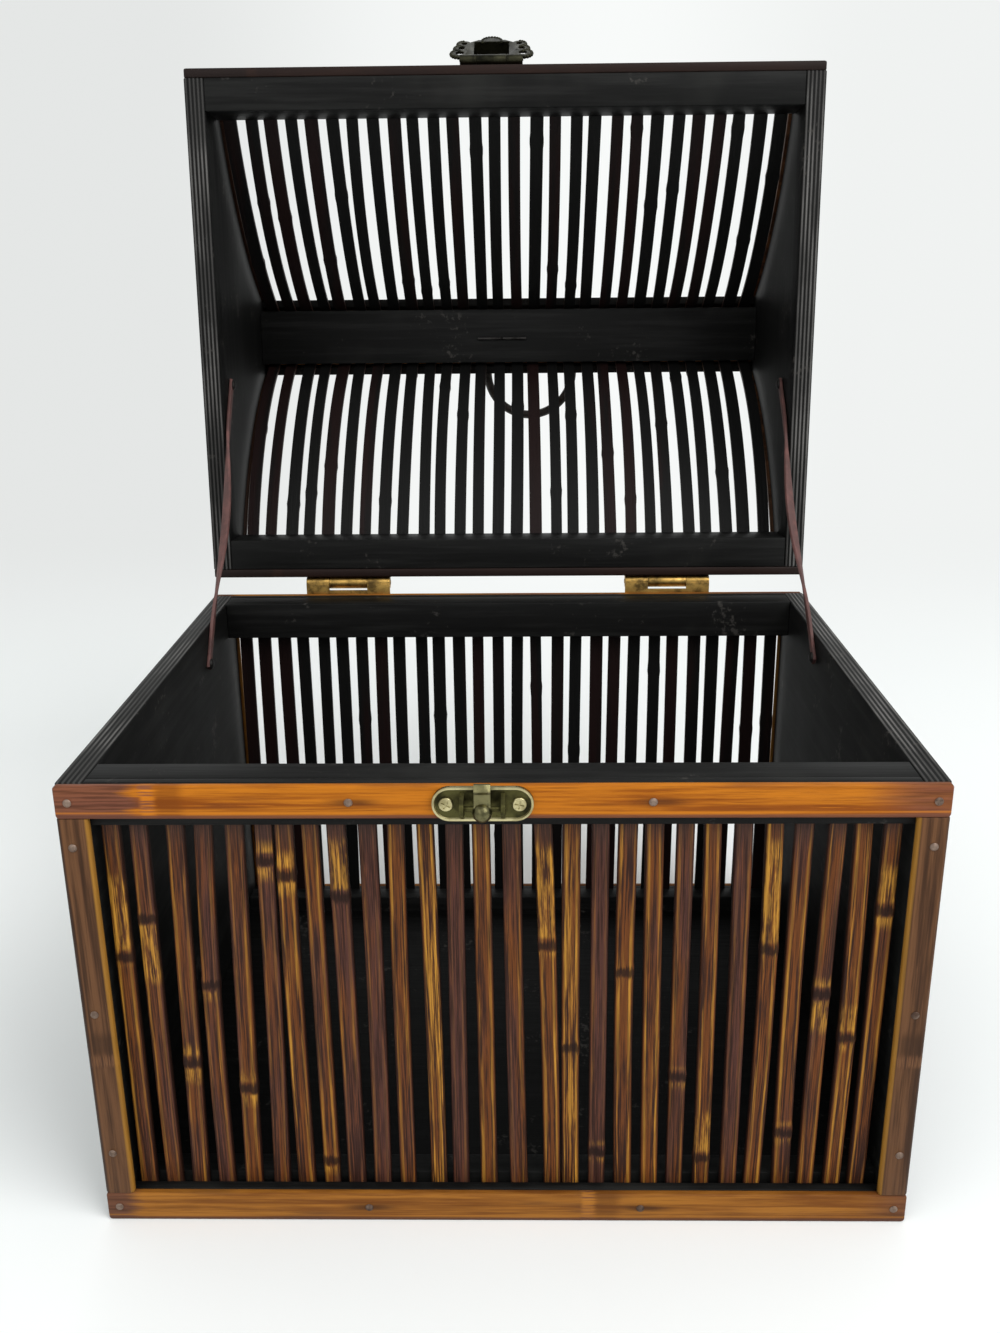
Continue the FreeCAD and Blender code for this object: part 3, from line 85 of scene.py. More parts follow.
# Driving dimensions that the frame gives

HINGE = Vector(JOINTS["lid_hinge"]["pos_m"])
LID_SWING = math.radians(JOINTS["lid_hinge"]["range_deg"][1])
LID_OPEN = Matrix.Translation(HINGE) @ Matrix.Rotation(-LID_SWING, 4, "X") @ Matrix.Translation(-HINGE)
PANEL_LOW, PANEL_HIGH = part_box("side_panel_right")
TRIM_LOW, TRIM_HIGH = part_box("front_top_trim")
HALF_WIDTH = TRIM_HIGH.x
HALF_DEPTH = -TRIM_LOW.y
BOX_HEIGHT = PANEL_HIGH.z
TRIM_HEIGHT = TRIM_HIGH.z - TRIM_LOW.z
SLAT_LOW, SLAT_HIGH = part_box("front_slats")
HALF_TURN = Matrix.Rotation(math.pi, 4, "Z")


class ChestSizes(bpy.types.PropertyGroup):
    """Sizes of the chest's pieces, in metres."""

    slat_count: IntProperty(name="Slats", description="Slats in one field", default=28)
    slat_margin: FloatProperty(name="Slat margin", description="Gap between a side panel and the first slat",
                               default=3.3 * MM, unit="LENGTH", subtype="DISTANCE")
    slat_width: FloatProperty(name="Slat width", description="Mean width of a slat", default=6.2 * MM,
                              unit="LENGTH", subtype="DISTANCE")
    slat_thick: FloatProperty(name="Slat thickness", description="Thickness of a slat", default=3.0 * MM,
                              unit="LENGTH", subtype="DISTANCE")
    slat_lean: FloatProperty(name="Slat lean", description="How far a slat's foot may stand off its place",
                             default=1.0 * MM, unit="LENGTH", subtype="DISTANCE")
    slat_bow: FloatProperty(name="Slat bow", description="How far a slat may bow sideways", default=0.6 * MM,
                            unit="LENGTH", subtype="DISTANCE")
    knot_swell: FloatProperty(name="Knot swell", description="How far a bamboo knot stands proud",
                              default=0.35 * MM, unit="LENGTH", subtype="DISTANCE")
    roof_radius: FloatProperty(name="Roof radius", description="Radius of the hollow roof curve",
                               default=187.0 * MM, unit="LENGTH", subtype="DISTANCE")
    strap_width: FloatProperty(name="Strap width", description="Width of a leather strap", default=4.5 * MM,
                               unit="LENGTH", subtype="DISTANCE")
    strap_thick: FloatProperty(name="Strap thickness", description="Thickness of a leather strap",
                               default=1.5 * MM, unit="LENGTH", subtype="DISTANCE")
    ease: FloatProperty(name="Eased edge", description="Rounding of the wooden edges", default=0.5 * MM,
                        unit="LENGTH", subtype="DISTANCE")


class ChestColours(bpy.types.PropertyGroup):
    """Colours of the finishes."""

    black_paint: FloatVectorProperty(name="Black paint", description="Paint on plywood and battens",
                                     subtype="COLOR", size=3, default=(0.0045, 0.0045, 0.0043))
    # This colour is the bamboo's dark burnt streaks, and also painted shade on the slats' rounded outer edges.
    scorch_and_shade: FloatVectorProperty(name="Scorch", description="Burnt edges of the bamboo", subtype="COLOR", size=3,
                                default=(0.028, 0.0105, 0.007))
    mauve: FloatVectorProperty(name="Mauve", description="Smoked back of a slat", subtype="COLOR", size=3,
                               default=(0.073, 0.028, 0.021))
    copper: FloatVectorProperty(name="Copper", description="Warm brown of the bamboo", subtype="COLOR", size=3,
                                default=(0.20, 0.062, 0.014))
    # This colour is bare bamboo, and also a painted highlight along the slats' rounded edges.
    gold: FloatVectorProperty(name="Gold", description="Bare bamboo at the edges of a slat", subtype="COLOR",
                              size=3, default=(0.55, 0.26, 0.036))
    smoke: FloatVectorProperty(name="Smoke", description="Greyish brown of the slats' upper ends", subtype="COLOR",
                               size=3, default=(0.07, 0.038, 0.03))
    honey: FloatVectorProperty(name="Honey", description="Sanded bamboo of the trims", subtype="COLOR", size=3,
                               default=(0.31, 0.075, 0.0025))
    brass: FloatVectorProperty(name="Brass", description="Hinges", subtype="COLOR", size=3,
                               default=(0.52, 0.32, 0.09))
    antique: FloatVectorProperty(name="Antique brass", description="Latch and hasp", subtype="COLOR", size=3,
                                 default=(0.30, 0.26, 0.13))
    leather: FloatVectorProperty(name="Leather", description="Stay straps", subtype="COLOR", size=3,
                                 default=(0.075, 0.03, 0.026))


class ChestStage(bpy.types.PropertyGroup):
    """Camera and light."""

    eye: FloatVectorProperty(name="Camera place", description="Where the camera stands", size=3,
                             default=(0.0075, -0.5117, 0.3564), subtype="TRANSLATION", unit="LENGTH")
    pitch: FloatProperty(name="Pitch", description="How far the camera looks down", subtype="ANGLE",
                         default=math.radians(18.726))
    yaw: FloatProperty(name="Yaw", description="How far the camera looks to the right", subtype="ANGLE",
                       default=math.radians(-1.057))
    roll: FloatProperty(name="Roll", description="Turn about the view axis", subtype="ANGLE",
                        default=math.radians(0.572))
    lens: FloatProperty(name="Lens", description="Focal length for a 36 mm high frame, in millimetres",
                        default=34.02)
    sky: FloatProperty(name="Sky", description="Strength of the even light", default=0.7)


def sizes():
    return bpy.context.scene.chest_sizes


def colours():
    return bpy.context.scene.chest_colours


# Shader maths

class Wire:
    """A socket that takes part in sums: each sum adds its Math node."""

    def __init__(self, tree, socket):
        self.tree = tree
        self.socket = socket

    def math(self, operation, *others, clamp=False):
        node = self.tree.nodes.new("ShaderNodeMath")
        node.operation = operation
        node.use_clamp = clamp
        feed(self.tree, node.inputs[0], self)
        for index, other in enumerate(others, start=1):
            feed(self.tree, node.inputs[index], other)
        return Wire(self.tree, node.outputs[0])

    def flipped(self, operation, other):
        node = self.tree.nodes.new("ShaderNodeMath")
        node.operation = operation
        feed(self.tree, node.inputs[0], other)
        feed(self.tree, node.inputs[1], self)
        return Wire(self.tree, node.outputs[0])

    def __add__(self, other):
        return self.math("ADD", other)

    __radd__ = __add__

    def __sub__(self, other):
        return self.math("SUBTRACT", other)

    def __rsub__(self, other):
        return self.flipped("SUBTRACT", other)

    def __mul__(self, other):
        return self.math("MULTIPLY", other)

    __rmul__ = __mul__

    def __truediv__(self, other):
        return self.math("DIVIDE", other)

    def __rtruediv__(self, other):
        return self.flipped("DIVIDE", other)

    def __abs__(self):
        return self.math("ABSOLUTE")

    def largest(self, other):
        return self.math("MAXIMUM", other)

    def fraction(self):
        return self.math("FRACT")

    def clamped(self):
        return self.math("ADD", 0.0, clamp=True)

    def rise(self, low, high):
        """0 below low, 1 above high and a smooth step between; low above high falls instead."""
        node = self.tree.nodes.new("ShaderNodeMapRange")
        node.interpolation_type = "SMOOTHSTEP"
        if low < high:
            limits = (low, high, 0.0, 1.0)
        else:
            limits = (high, low, 1.0, 0.0)
        feed(self.tree, node.inputs["Value"], self)
        for name, value in zip(("From Min", "From Max", "To Min", "To Max"), limits):
            node.inputs[name].default_value = value
        return Wire(self.tree, node.outputs["Result"])

    def band(self, centre, half, soft):
        """1 within half of centre and a soft fall outside."""
        return abs(self - centre).rise(half + soft, half)


def feed(tree, target, value):
    if isinstance(value, Wire):
        tree.links.new(value.socket, target)
    elif hasattr(value, "__len__") and target.type == "RGBA" and len(value) == 3:
        target.default_value = (*value, 1.0)
    else:
        target.default_value = value


class Finish:
    """A material in the making, on object coordinates or a piece's own attributes."""

    def __init__(self, name, roughness=0.5, metallic=0.0, coat=0.0, coat_roughness=0.2, shine=0.5):
        self.material = bpy.data.materials.new(name)
        self.material.use_nodes = True
        self.tree = self.material.node_tree
        self.shader = self.tree.nodes["Principled BSDF"]
        self.shader.inputs["Roughness"].default_value = roughness
        self.shader.inputs["Metallic"].default_value = metallic
        self.shader.inputs["Coat Weight"].default_value = coat
        self.shader.inputs["Coat Roughness"].default_value = coat_roughness
        self.shader.inputs["Specular IOR Level"].default_value = shine

    def add(self, kind, settings=(), inputs=(), output=0):
        """One node: its settings first, then the values or wires of its sockets."""
        node = self.tree.nodes.new(kind)
        for name, value in dict(settings).items():
            setattr(node, name, value)
        for name, value in dict(inputs).items():
            feed(self.tree, node.inputs[name], value)
        return Wire(self.tree, node.outputs[output])

    def split(self, vector):
        node = self.tree.nodes.new("ShaderNodeSeparateXYZ")
        feed(self.tree, node.inputs[0], vector)
        return [Wire(self.tree, output) for output in node.outputs]

    def place(self, closed=False):
        """Object coordinates in metres as (x, y, z); closed turns the open lid's back on the box."""
        point = self.add("ShaderNodeTexCoord", output="Object")
        if closed:
            shut = LID_OPEN.inverted()
            point = self.add("ShaderNodeMapping", {"vector_type": "POINT"}, {
                "Vector": point, "Location": shut.translation, "Rotation": shut.to_euler()})
        return self.split(point)

    def attribute(self, name, output="Fac"):
        return self.add("ShaderNodeAttribute", {"attribute_type": "GEOMETRY", "attribute_name": name},
                        output=output)

    def at(self, x, y, z):
        return self.add("ShaderNodeCombineXYZ", inputs={"X": x, "Y": y, "Z": z})

    def noise(self, vector, scale=1.0, detail=2.0, rough=0.5):
        return self.add("ShaderNodeTexNoise", inputs={
            "Vector": vector, "Scale": scale, "Detail": detail, "Roughness": rough})

    def cells(self, vector, scale=1.0):
        return self.add("ShaderNodeTexVoronoi", inputs={"Vector": vector, "Scale": scale}, output="Distance")

    def mix(self, factor, first, second):
        node = self.tree.nodes.new("ShaderNodeMix")
        node.data_type = "RGBA"
        feed(self.tree, node.inputs[0], factor)
        feed(self.tree, node.inputs[6], first)
        feed(self.tree, node.inputs[7], second)
        return Wire(self.tree, node.outputs[2])

    def colour(self, wire):
        feed(self.tree, self.shader.inputs["Base Color"], wire)

    def roughness(self, wire):
        feed(self.tree, self.shader.inputs["Roughness"], wire)

    def bump(self, height, distance, strength=1.0):
        normal = self.add("ShaderNodeBump", inputs={
            "Height": height, "Distance": distance, "Strength": strength}, output="Normal")
        feed(self.tree, self.shader.inputs["Normal"], normal)


def shade(colour, factor):
    return tuple(part * factor for part in colour)


# Finishes

RED_BLACK = (0.012, 0.0038, 0.0034)
WORN_PAINT = (0.022, 0.022, 0.02)
BARE_PLY = (0.13, 0.125, 0.12)
SCUFF = (0.06, 0.055, 0.05)


def slat_finish():
    """Split bamboo: dark streaks, golden ridges that come and go (partly bare fibre, partly a painted highlight on the
    rounded edges), painted shade on the outer edges, dark sides, dark knots with bright tips, smoked upper ends and
    darker feet.
    """
    tint = colours()
    finish = Finish("burnt_bamboo", roughness=0.5, shine=0.12)
    across, depth, along = finish.split(finish.attribute("place", "Vector"))
    hand = finish.attribute("hand")
    knot = finish.attribute("knot")
    end = finish.attribute("tip")
    seed = hand * 91.0
    streak = finish.noise(finish.at(across * 2.4 + seed, depth * 2.0, along * 16.0), 1.0, 4.0, 0.6)
    thread = finish.noise(finish.at(across * 5.5 + seed, depth * 3.0, along * 38.0), 1.0, 4.0, 0.68)
    drift = finish.noise(finish.at(seed, across * 0.6, along * 16.0), 1.0, 2.0, 0.5)
    patch = finish.noise(finish.at(seed + 5.0, across * 1.6, along * 90.0), 1.0, 3.0, 0.6)
    tone = (finish.attribute("tone") + (drift - 0.5) * 1.1).clamped()
    grain = thread * 0.55 + streak * 0.45
    body = finish.mix(tone.rise(0.15, 0.45), tint.mauve, shade(tint.copper, 0.62))
    base = finish.mix(grain.rise(0.42, 0.55), tint.scorch_and_shade, body)
    base = finish.mix(thread.rise(0.52, 0.66) * (0.3 + 0.6 * tone), base, tint.copper)
    side = abs(across + (drift - 0.5) * 0.35)
    # Golden bands near both rounded edges: partly bare fibre, partly a painted highlight where the edges curve.
    ridge_fibre_and_highlight = side.band(0.6, 0.07, 0.16) * streak.rise(0.4, 0.55) * (0.1 + 0.9 * tone.rise(0.12, 0.7))
    broad = tone.rise(0.62, 0.9) * grain.rise(0.46, 0.56) * 0.8
    upper = (knot - 2 * MM).rise(0.0, 2 * MM) * (finish.attribute("above") - knot).rise(0.0, 6 * MM)
    lower = (-1.0 * knot - 2 * MM).rise(0.0, 2 * MM) * (finish.attribute("below") + knot).rise(0.0, 6 * MM)
    tips = (upper + lower) * (patch * 0.5 + thread * 0.5).rise(0.43, 0.6) * 0.9
    golden = (ridge_fibre_and_highlight * 0.8 + broad + tips).clamped()
    base = finish.mix(golden, base, finish.mix(thread.rise(0.45, 0.65), shade(tint.gold, 0.55), tint.gold))
    # Painted shade: the outermost part of each rounded edge is darkened.
    base = finish.mix(abs(across).rise(0.84, 0.97) * 0.85, base, shade(tint.scorch_and_shade, 0.7))
    ragged = knot + (thread - 0.5) * 7 * MM + (patch - 0.5) * 5 * MM
    base = finish.mix(ragged.band(0.0, 1.0 * MM, 1.8 * MM) * 0.85, base, shade(tint.scorch_and_shade, 0.45))
    smoke = (end + (thread - 0.5) * 20 * MM).rise(26 * MM, 8 * MM) * tone.rise(0.85, 0.4)
    # Every slat is also darker towards its foot.
    smoke = smoke + (along + (thread - 0.5) * 12 * MM).rise(9 * MM, 3 * MM)
    sooty = finish.mix(thread.rise(0.4, 0.6), shade(tint.smoke, 0.5), tint.smoke)
    base = finish.mix(smoke.clamped() * 0.8, base, sooty)
    # The slats' sides, which face the next slats, are made near black brown.
    base = finish.mix(depth.rise(0.35, 0.6) * 0.85, base, shade(tint.scorch_and_shade, 0.6))
    painted = finish.mix((hand + (drift - 0.5)).rise(0.5, 0.9) * 0.7, shade(tint.black_paint, 0.85), RED_BLACK)
    base = finish.mix(depth.rise(0.85, 0.97), base, painted)
    finish.colour(base)
    finish.roughness(0.42 + thread * 0.25)
    finish.bump(thread * 0.6 + streak * 0.6, 0.4 * MM, 0.7)
    return finish.material


def bamboo_strip_finish(name, along, across, low, high, tones, closed=False, seed=0.0, smoky=(0.0, 0.0), knots=(),
                        nails=(), bare_edge=0.0):
    """A sanded bamboo strip.

    along and across are axes 0 to 2; low and high bound the strip across. tones are its main, light, dark and
    smoked colours; the smoked one is also painted shade along the low edge, and the light one a painted highlight
    just above it. smoky are the lengths of the darker ends, knots and nails their places along, and bare_edge is
    -1 or 1 where the low or high edge is rubbed down to gold.
    """
    finish = Finish(name, roughness=0.42, shine=0.12)
    place = finish.place(closed)
    run = place[along]
    share = (place[across] - low) / (high - low)
    other = place[3 - along - across]
    main, light, dark, smoked = tones
    streak = finish.noise(finish.at(share * 4.0 + seed, run * 12.0, other * 120.0), 1.0, 4.0, 0.6)
    thread = finish.noise(finish.at(share * 15.0 + seed, run * 30.0, other * 500.0), 1.0, 4.0, 0.66)
    cloud = finish.noise(finish.at(run * 16.0, share * 2.2 + seed, 2.0), 1.0, 3.0, 0.5)
    base = finish.mix(streak.rise(0.36, 0.62), shade(main, 0.72), light)
    base = finish.mix(thread.rise(0.5, 0.7) * 0.55, base, shade(main, 0.5))
    base = finish.mix(thread.rise(0.42, 0.3) * 0.5, base, shade(light, 1.25))
    base = finish.mix(cloud.rise(0.55, 0.75) * 0.6, base, dark)
    half = HALF_WIDTH if along == 0 else 0.5
    left, right = smoky
    ragged = run + (streak - 0.5) * 20 * MM
    burnt = finish.mix(thread.rise(0.42, 0.62), shade(smoked, 1.3), shade(smoked, 0.65))
    if left:
        base = finish.mix(ragged.rise(-half + left + 4 * MM, -half + left - 4 * MM) * 0.92, base, burnt)
    if right:
        base = finish.mix(ragged.rise(half - right - 12 * MM, half - right + 12 * MM) * 0.75, base, burnt)
    for knot in knots:
        ring = run + (thread - 0.5) * 5 * MM - knot
        base = finish.mix(ring.band(0.0, 1.5 * MM, 2.0 * MM) * 0.7, base, finish.mix(
            thread.rise(0.45, 0.6), shade(light, 1.3), shade(smoked, 1.4)))
        base = finish.mix(ring.band(7 * MM, 2.0 * MM, 5.0 * MM) * 0.55, base, shade(main, 0.5))
    for nail in nails:
        stain = abs(run - nail).rise(14 * MM, 1 * MM) * share.band(0.5, 0.02, 0.16)
        base = finish.mix(stain * 0.75, base, shade(dark, 0.5))
    # Painted shade along the low edge, and a thin painted highlight just above it.
    base = finish.mix(share.rise(0.16, 0.09) * 0.85, base, smoked)
    base = finish.mix(share.band(0.19, 0.01, 0.035) * 0.5, base, shade(light, 1.2))
    if bare_edge:
        rubbed = share.rise(0.86, 0.93) if bare_edge > 0 else share.rise(0.14, 0.07)
        base = finish.mix(rubbed * (0.2 + 0.9 * thread), base, shade(colours().gold, 0.7))
    finish.colour(base)
    finish.roughness(0.36 + thread * 0.25)
    finish.bump(thread * 0.5 + streak * 0.5, 0.3 * MM, 0.5)
    return finish.material


def black_wood_finish(name, along, closed=False, plies=(), tone=1.0):
    """Black paint over wood grain; a tone below 1 gives a darker copy of the same paint, as painted shade.

    plies are (inner x, outer x) of plywood whose cut edges show its layers.
    """
    tint = colours()
    finish = Finish(name, roughness=0.55, shine=0.1)
    place = finish.place(closed)
    stretch = [260.0, 260.0, 260.0]
    stretch[along] = 14.0
    grain = finish.noise(finish.at(*[part * factor for part, factor in zip(place, stretch)]), 1.0, 4.0, 0.6)
    cloud = finish.noise(finish.at(*place), 22.0, 3.0, 0.5)
    base = finish.mix(grain.rise(0.4, 0.75), shade(tint.black_paint, tone), shade(tint.black_paint, 2.6 * tone))
    base = finish.mix(cloud.rise(0.55, 0.8) * 0.5, base, shade(WORN_PAINT, tone))
    height = grain
    if plies:
        inner, outer = plies
        layer = ((abs(place[0]) - inner) / (outer - inner) * 5.0).fraction()
        line = layer.band(0.5, 0.12, 0.2)
        worn = cloud.rise(0.35, 0.65) * grain.rise(0.35, 0.6)
        base = finish.mix(line * (0.25 + 0.7 * worn), base, BARE_PLY)
        height = grain * 0.6 + line * 0.6
    scuff = finish.noise(finish.at(*place), 310.0, 2.0, 0.7) * finish.noise(finish.at(*place), 40.0, 1.0, 0.5)
    base = finish.mix(scuff.rise(0.36, 0.5) * 0.6, base, SCUFF)
    finish.colour(base)
    finish.roughness(0.46 + cloud * 0.2)
    finish.bump(height, 0.35 * MM, 0.7)
    return finish.material


def metal_finish(name, colour, dull, roughness, spots=900.0):
    """Cast or pressed metal, darkened in noise clouds and specks."""
    finish = Finish(name, metallic=1.0)
    place = finish.at(*finish.place())
    cloud = finish.noise(place, 160.0, 4.0, 0.6)
    speck = finish.noise(place, spots, 2.0, 0.6)
    base = finish.mix(cloud.rise(0.4, 0.7), colour, dull)
    base = finish.mix(speck.rise(0.6, 0.75) * 0.5, base, shade(dull, 0.6))
    finish.colour(base)
    finish.roughness(roughness + cloud * 0.25)
    finish.bump(speck, 0.1 * MM, 0.4)
    return finish.material


def leather_finish():
    tint = colours()
    finish = Finish("strap_leather", roughness=0.6)
    x, y, z = finish.place()
    pore = finish.cells(finish.at(x, y, z), 1400.0)
    cloud = finish.noise(finish.at(x, y, z), 120.0, 3.0, 0.6)
    base = finish.mix(cloud.rise(0.4, 0.7), tint.leather, shade(tint.leather, 1.8))
    finish.colour(base)
    finish.roughness(0.5 + cloud * 0.3)
    finish.bump(pore, 0.15 * MM, 0.6)
    return finish.material


def floor_finish():
    """Pale paper; its far part shows the camera, metal and varnish a bright glow, painted light that grows brighter
    towards the middle and the right.
    """
    finish = Finish("pale_floor", roughness=0.9, shine=0.1)
    x, y, z = finish.place()
    mottle = finish.noise(finish.at(x, y, z), 3.0, 2.0, 0.5)
    finish.colour(finish.mix(mottle, (0.87, 0.885, 0.88), (0.90, 0.91, 0.905)))
    # Painted light: the glow's brightness rises towards the middle and the right of the view.
    bearing = x / (y - bpy.context.scene.chest_stage.eye[1])
    middle = bearing.band(0.0, 0.05, 0.22)
    tone = 0.79 + 0.09 * bearing.rise(-0.25, 0.3) + 0.11 * middle
    glow = finish.add("ShaderNodeEmission", inputs={
        "Color": finish.add("ShaderNodeCombineColor", inputs={"Red": tone * 0.99, "Green": tone * 1.01, "Blue": tone}),
        "Strength": 1.0})
    ray = finish.add("ShaderNodeLightPath")
    seen = ray.largest(Wire(finish.tree, ray.socket.node.outputs["Is Glossy Ray"]))
    seen = seen.largest(Wire(finish.tree, ray.socket.node.outputs["Is Transmission Ray"]))
    far = (y + z).rise(0.35, 1.1) * seen
    blend = finish.add("ShaderNodeMixShader", inputs={0: far, 1: Wire(finish.tree, finish.shader.outputs[0]), 2: glow})
    output = finish.tree.nodes["Material Output"]
    feed(finish.tree, output.inputs["Surface"], blend)
    return finish.material


# Modelling

def deselect():
    if bpy.context.object and bpy.context.object.mode != "OBJECT":
        bpy.ops.object.mode_set(mode="OBJECT")
    bpy.ops.object.select_all(action="DESELECT")


def make_active(piece):
    deselect()
    piece.select_set(True)
    bpy.context.view_layer.objects.active = piece


def apply_place(piece):
    """Put a piece's place into its mesh."""
    make_active(piece)
    bpy.ops.object.transform_apply(location=True, rotation=True, scale=True)


def block(name, low, high):
    """A box between two corners, its object at the origin."""
    deselect()
    middle = [(a + b) / 2 for a, b in zip(low, high)]
    bpy.ops.mesh.primitive_cube_add(size=1, location=middle, scale=[b - a for a, b in zip(low, high)])
    piece = bpy.context.object
    piece.name = name
    apply_place(piece)
    return piece


def edit(piece):
    """Go to edit mode on a piece with nothing selected, to work on its edges."""
    make_active(piece)
    bpy.ops.object.mode_set(mode="EDIT")
    bpy.ops.mesh.select_mode(type="EDGE")
    bpy.ops.mesh.select_all(action="DESELECT")


def pick_edges(piece, wanted):
    """Select the edges whose two ends the function wanted agrees to, and nothing else."""
    bpy.ops.mesh.select_all(action="DESELECT")
    mesh = bmesh.from_edit_mesh(piece.data)
    for edge in mesh.edges:
        if wanted(edge.verts[0].co, edge.verts[1].co):
            edge.select_set(True)
    bmesh.update_edit_mesh(piece.data)


def pick_faces(piece, wanted):
    """Select the faces whose normals the function wanted agrees to, and nothing else."""
    bpy.ops.mesh.select_mode(type="FACE")
    bpy.ops.mesh.select_all(action="DESELECT")
    mesh = bmesh.from_edit_mesh(piece.data)
    mesh.normal_update()
    for face in mesh.faces:
        if wanted(face.normal):
            face.select_set(True)
    bmesh.update_edit_mesh(piece.data)


def finish_edit():
    bpy.ops.object.mode_set(mode="OBJECT")


def join(pieces, name):
    deselect()
    for piece in pieces:
        piece.select_set(True)
    bpy.context.view_layer.objects.active = pieces[0]
    bpy.ops.object.join()
    piece = bpy.context.object
    piece.name = name
    return piece


def smooth(piece, degrees=40):
    make_active(piece)
    bpy.ops.object.shade_smooth_by_angle(angle=math.radians(degrees))


def dress(piece, body, material, slot, *nodes):
    """Give a piece its finish, let it ride on a body and stand for CAD nodes."""
    piece.data.materials.clear()
    piece.data.materials.append(material)
    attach(piece, body)
    if nodes:
        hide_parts(*nodes)
    return piece


def repaint(node, material):
    """Put a finish on a CAD node."""
    target = frame["nodes"][node]
    target.data.materials.clear()
    target.data.materials.append(material)


def slat_blank(length):
    """A split slat lying on its own axes: x across, y through (skin at the low side), z along from 0."""
    size = sizes()
    half = size.slat_width / 2
    piece = block("slat_blank", (-half, 0, 0), (half, size.slat_thick, length))
    edit(piece)
    pick_edges(piece, lambda a, b: abs(a.z - b.z) > length / 2 and a.y < size.slat_thick / 2)
    bpy.ops.mesh.bevel(offset=1.1 * MM, offset_pct=0, segments=3, profile=0.5, affect="EDGES")
    pick_edges(piece, lambda a, b: abs(a.z - b.z) > length / 2)
    bpy.ops.mesh.subdivide(number_cuts=63)
    finish_edit()
    return piece


def shaped_slat(blank, length, hand, tone, lean, bow, width, knots, bright, where):
    """A copy of the blank with its own bow, lean, width and knots, put in place by the function where.

    bright is how far the slat is golden above and below its knot.
    """
    size = sizes()
    mesh = blank.data.copy()
    piece = bpy.data.objects.new("slat", mesh)
    bpy.context.scene.collection.objects.link(piece)
    half = size.slat_width / 2
    facts = {"place": [], "hand": [], "tone": [], "knot": [], "tip": [], "above": [], "below": []}
    for vertex in mesh.vertices:
        point = vertex.co.copy()
        across = point.x / half
        depth = point.y / size.slat_thick
        share = point.z / length
        nearest = min((point.z - knot * length for knot in knots), key=abs, default=length)
        facts["place"] += (across, depth, point.z)
        facts["hand"].append(hand)
        facts["tone"].append(tone)
        facts["above"].append(bright[0])
        facts["below"].append(bright[1])
        facts["knot"].append(nearest)
        facts["tip"].append(length - point.z)
        swell = size.knot_swell * math.exp(-(nearest / (2.2 * MM)) ** 2)
        shift = lean * (0.5 - share) + bow * math.sin(math.pi * share)
        vertex.co = where(Vector((across * (width / 2 + swell) + shift, point.y - swell * (1 - depth), point.z)))
    for name, values in facts.items():
        kind, field = ("FLOAT_VECTOR", "vector") if name == "place" else ("FLOAT", "value")
        mesh.attributes.new(name, kind, "POINT").data.foreach_set(field, values)
    return piece


# Hand-set slats wander from their even spacing by these shares of it.
SLAT_WANDER = (0.0, 0.05, -0.03, 0.02, -0.06, 0.04, -0.01)


def slat_stations():
    """Places of the slats across the width."""
    size = sizes()
    last = size.slat_count - 1
    field = 2 * (PANEL_LOW.x - size.slat_margin) - size.slat_width
    return [(i / last - 0.5) * field + SLAT_WANDER[i % len(SLAT_WANDER)] * field / last for i in range(last + 1)]


def slat_field(name, length, seed, where):
    """A field of slats; where(station) gives the function that puts a slat's points in place."""
    size = sizes()
    draw = random.Random(seed)
    blank = slat_blank(length)
    slats = []
    for station in slat_stations():
        knots = [draw.uniform(0.08, 0.92)] if draw.random() < 0.6 else []
        slats.append(shaped_slat(
            blank, length, draw.random(), draw.uniform(0.1, 0.9), draw.uniform(-1, 1) * size.slat_lean,
            draw.uniform(-1, 1) * size.slat_bow, size.slat_width * draw.uniform(0.92, 1.08), knots,
            [draw.choice((0, 0, 1)) * draw.uniform(8, 25) * MM for end in range(2)], where(station)))
    return field_of(slats, blank, name)


def field_of(slats, blank, name):
    """Join a field's slats into one piece and drop their blank."""
    bpy.data.objects.remove(blank)
    piece = join(slats, name)
    smooth(piece, 50)
    return piece


# The front slats stand where the photograph shows them. Each has its column at TOP_ROW and at FOOT_ROW, its bow
# in columns, the row of its knot (0 for none), its tone from smoked (0) to golden (1), and how many rows it is
# bright above and below the knot.

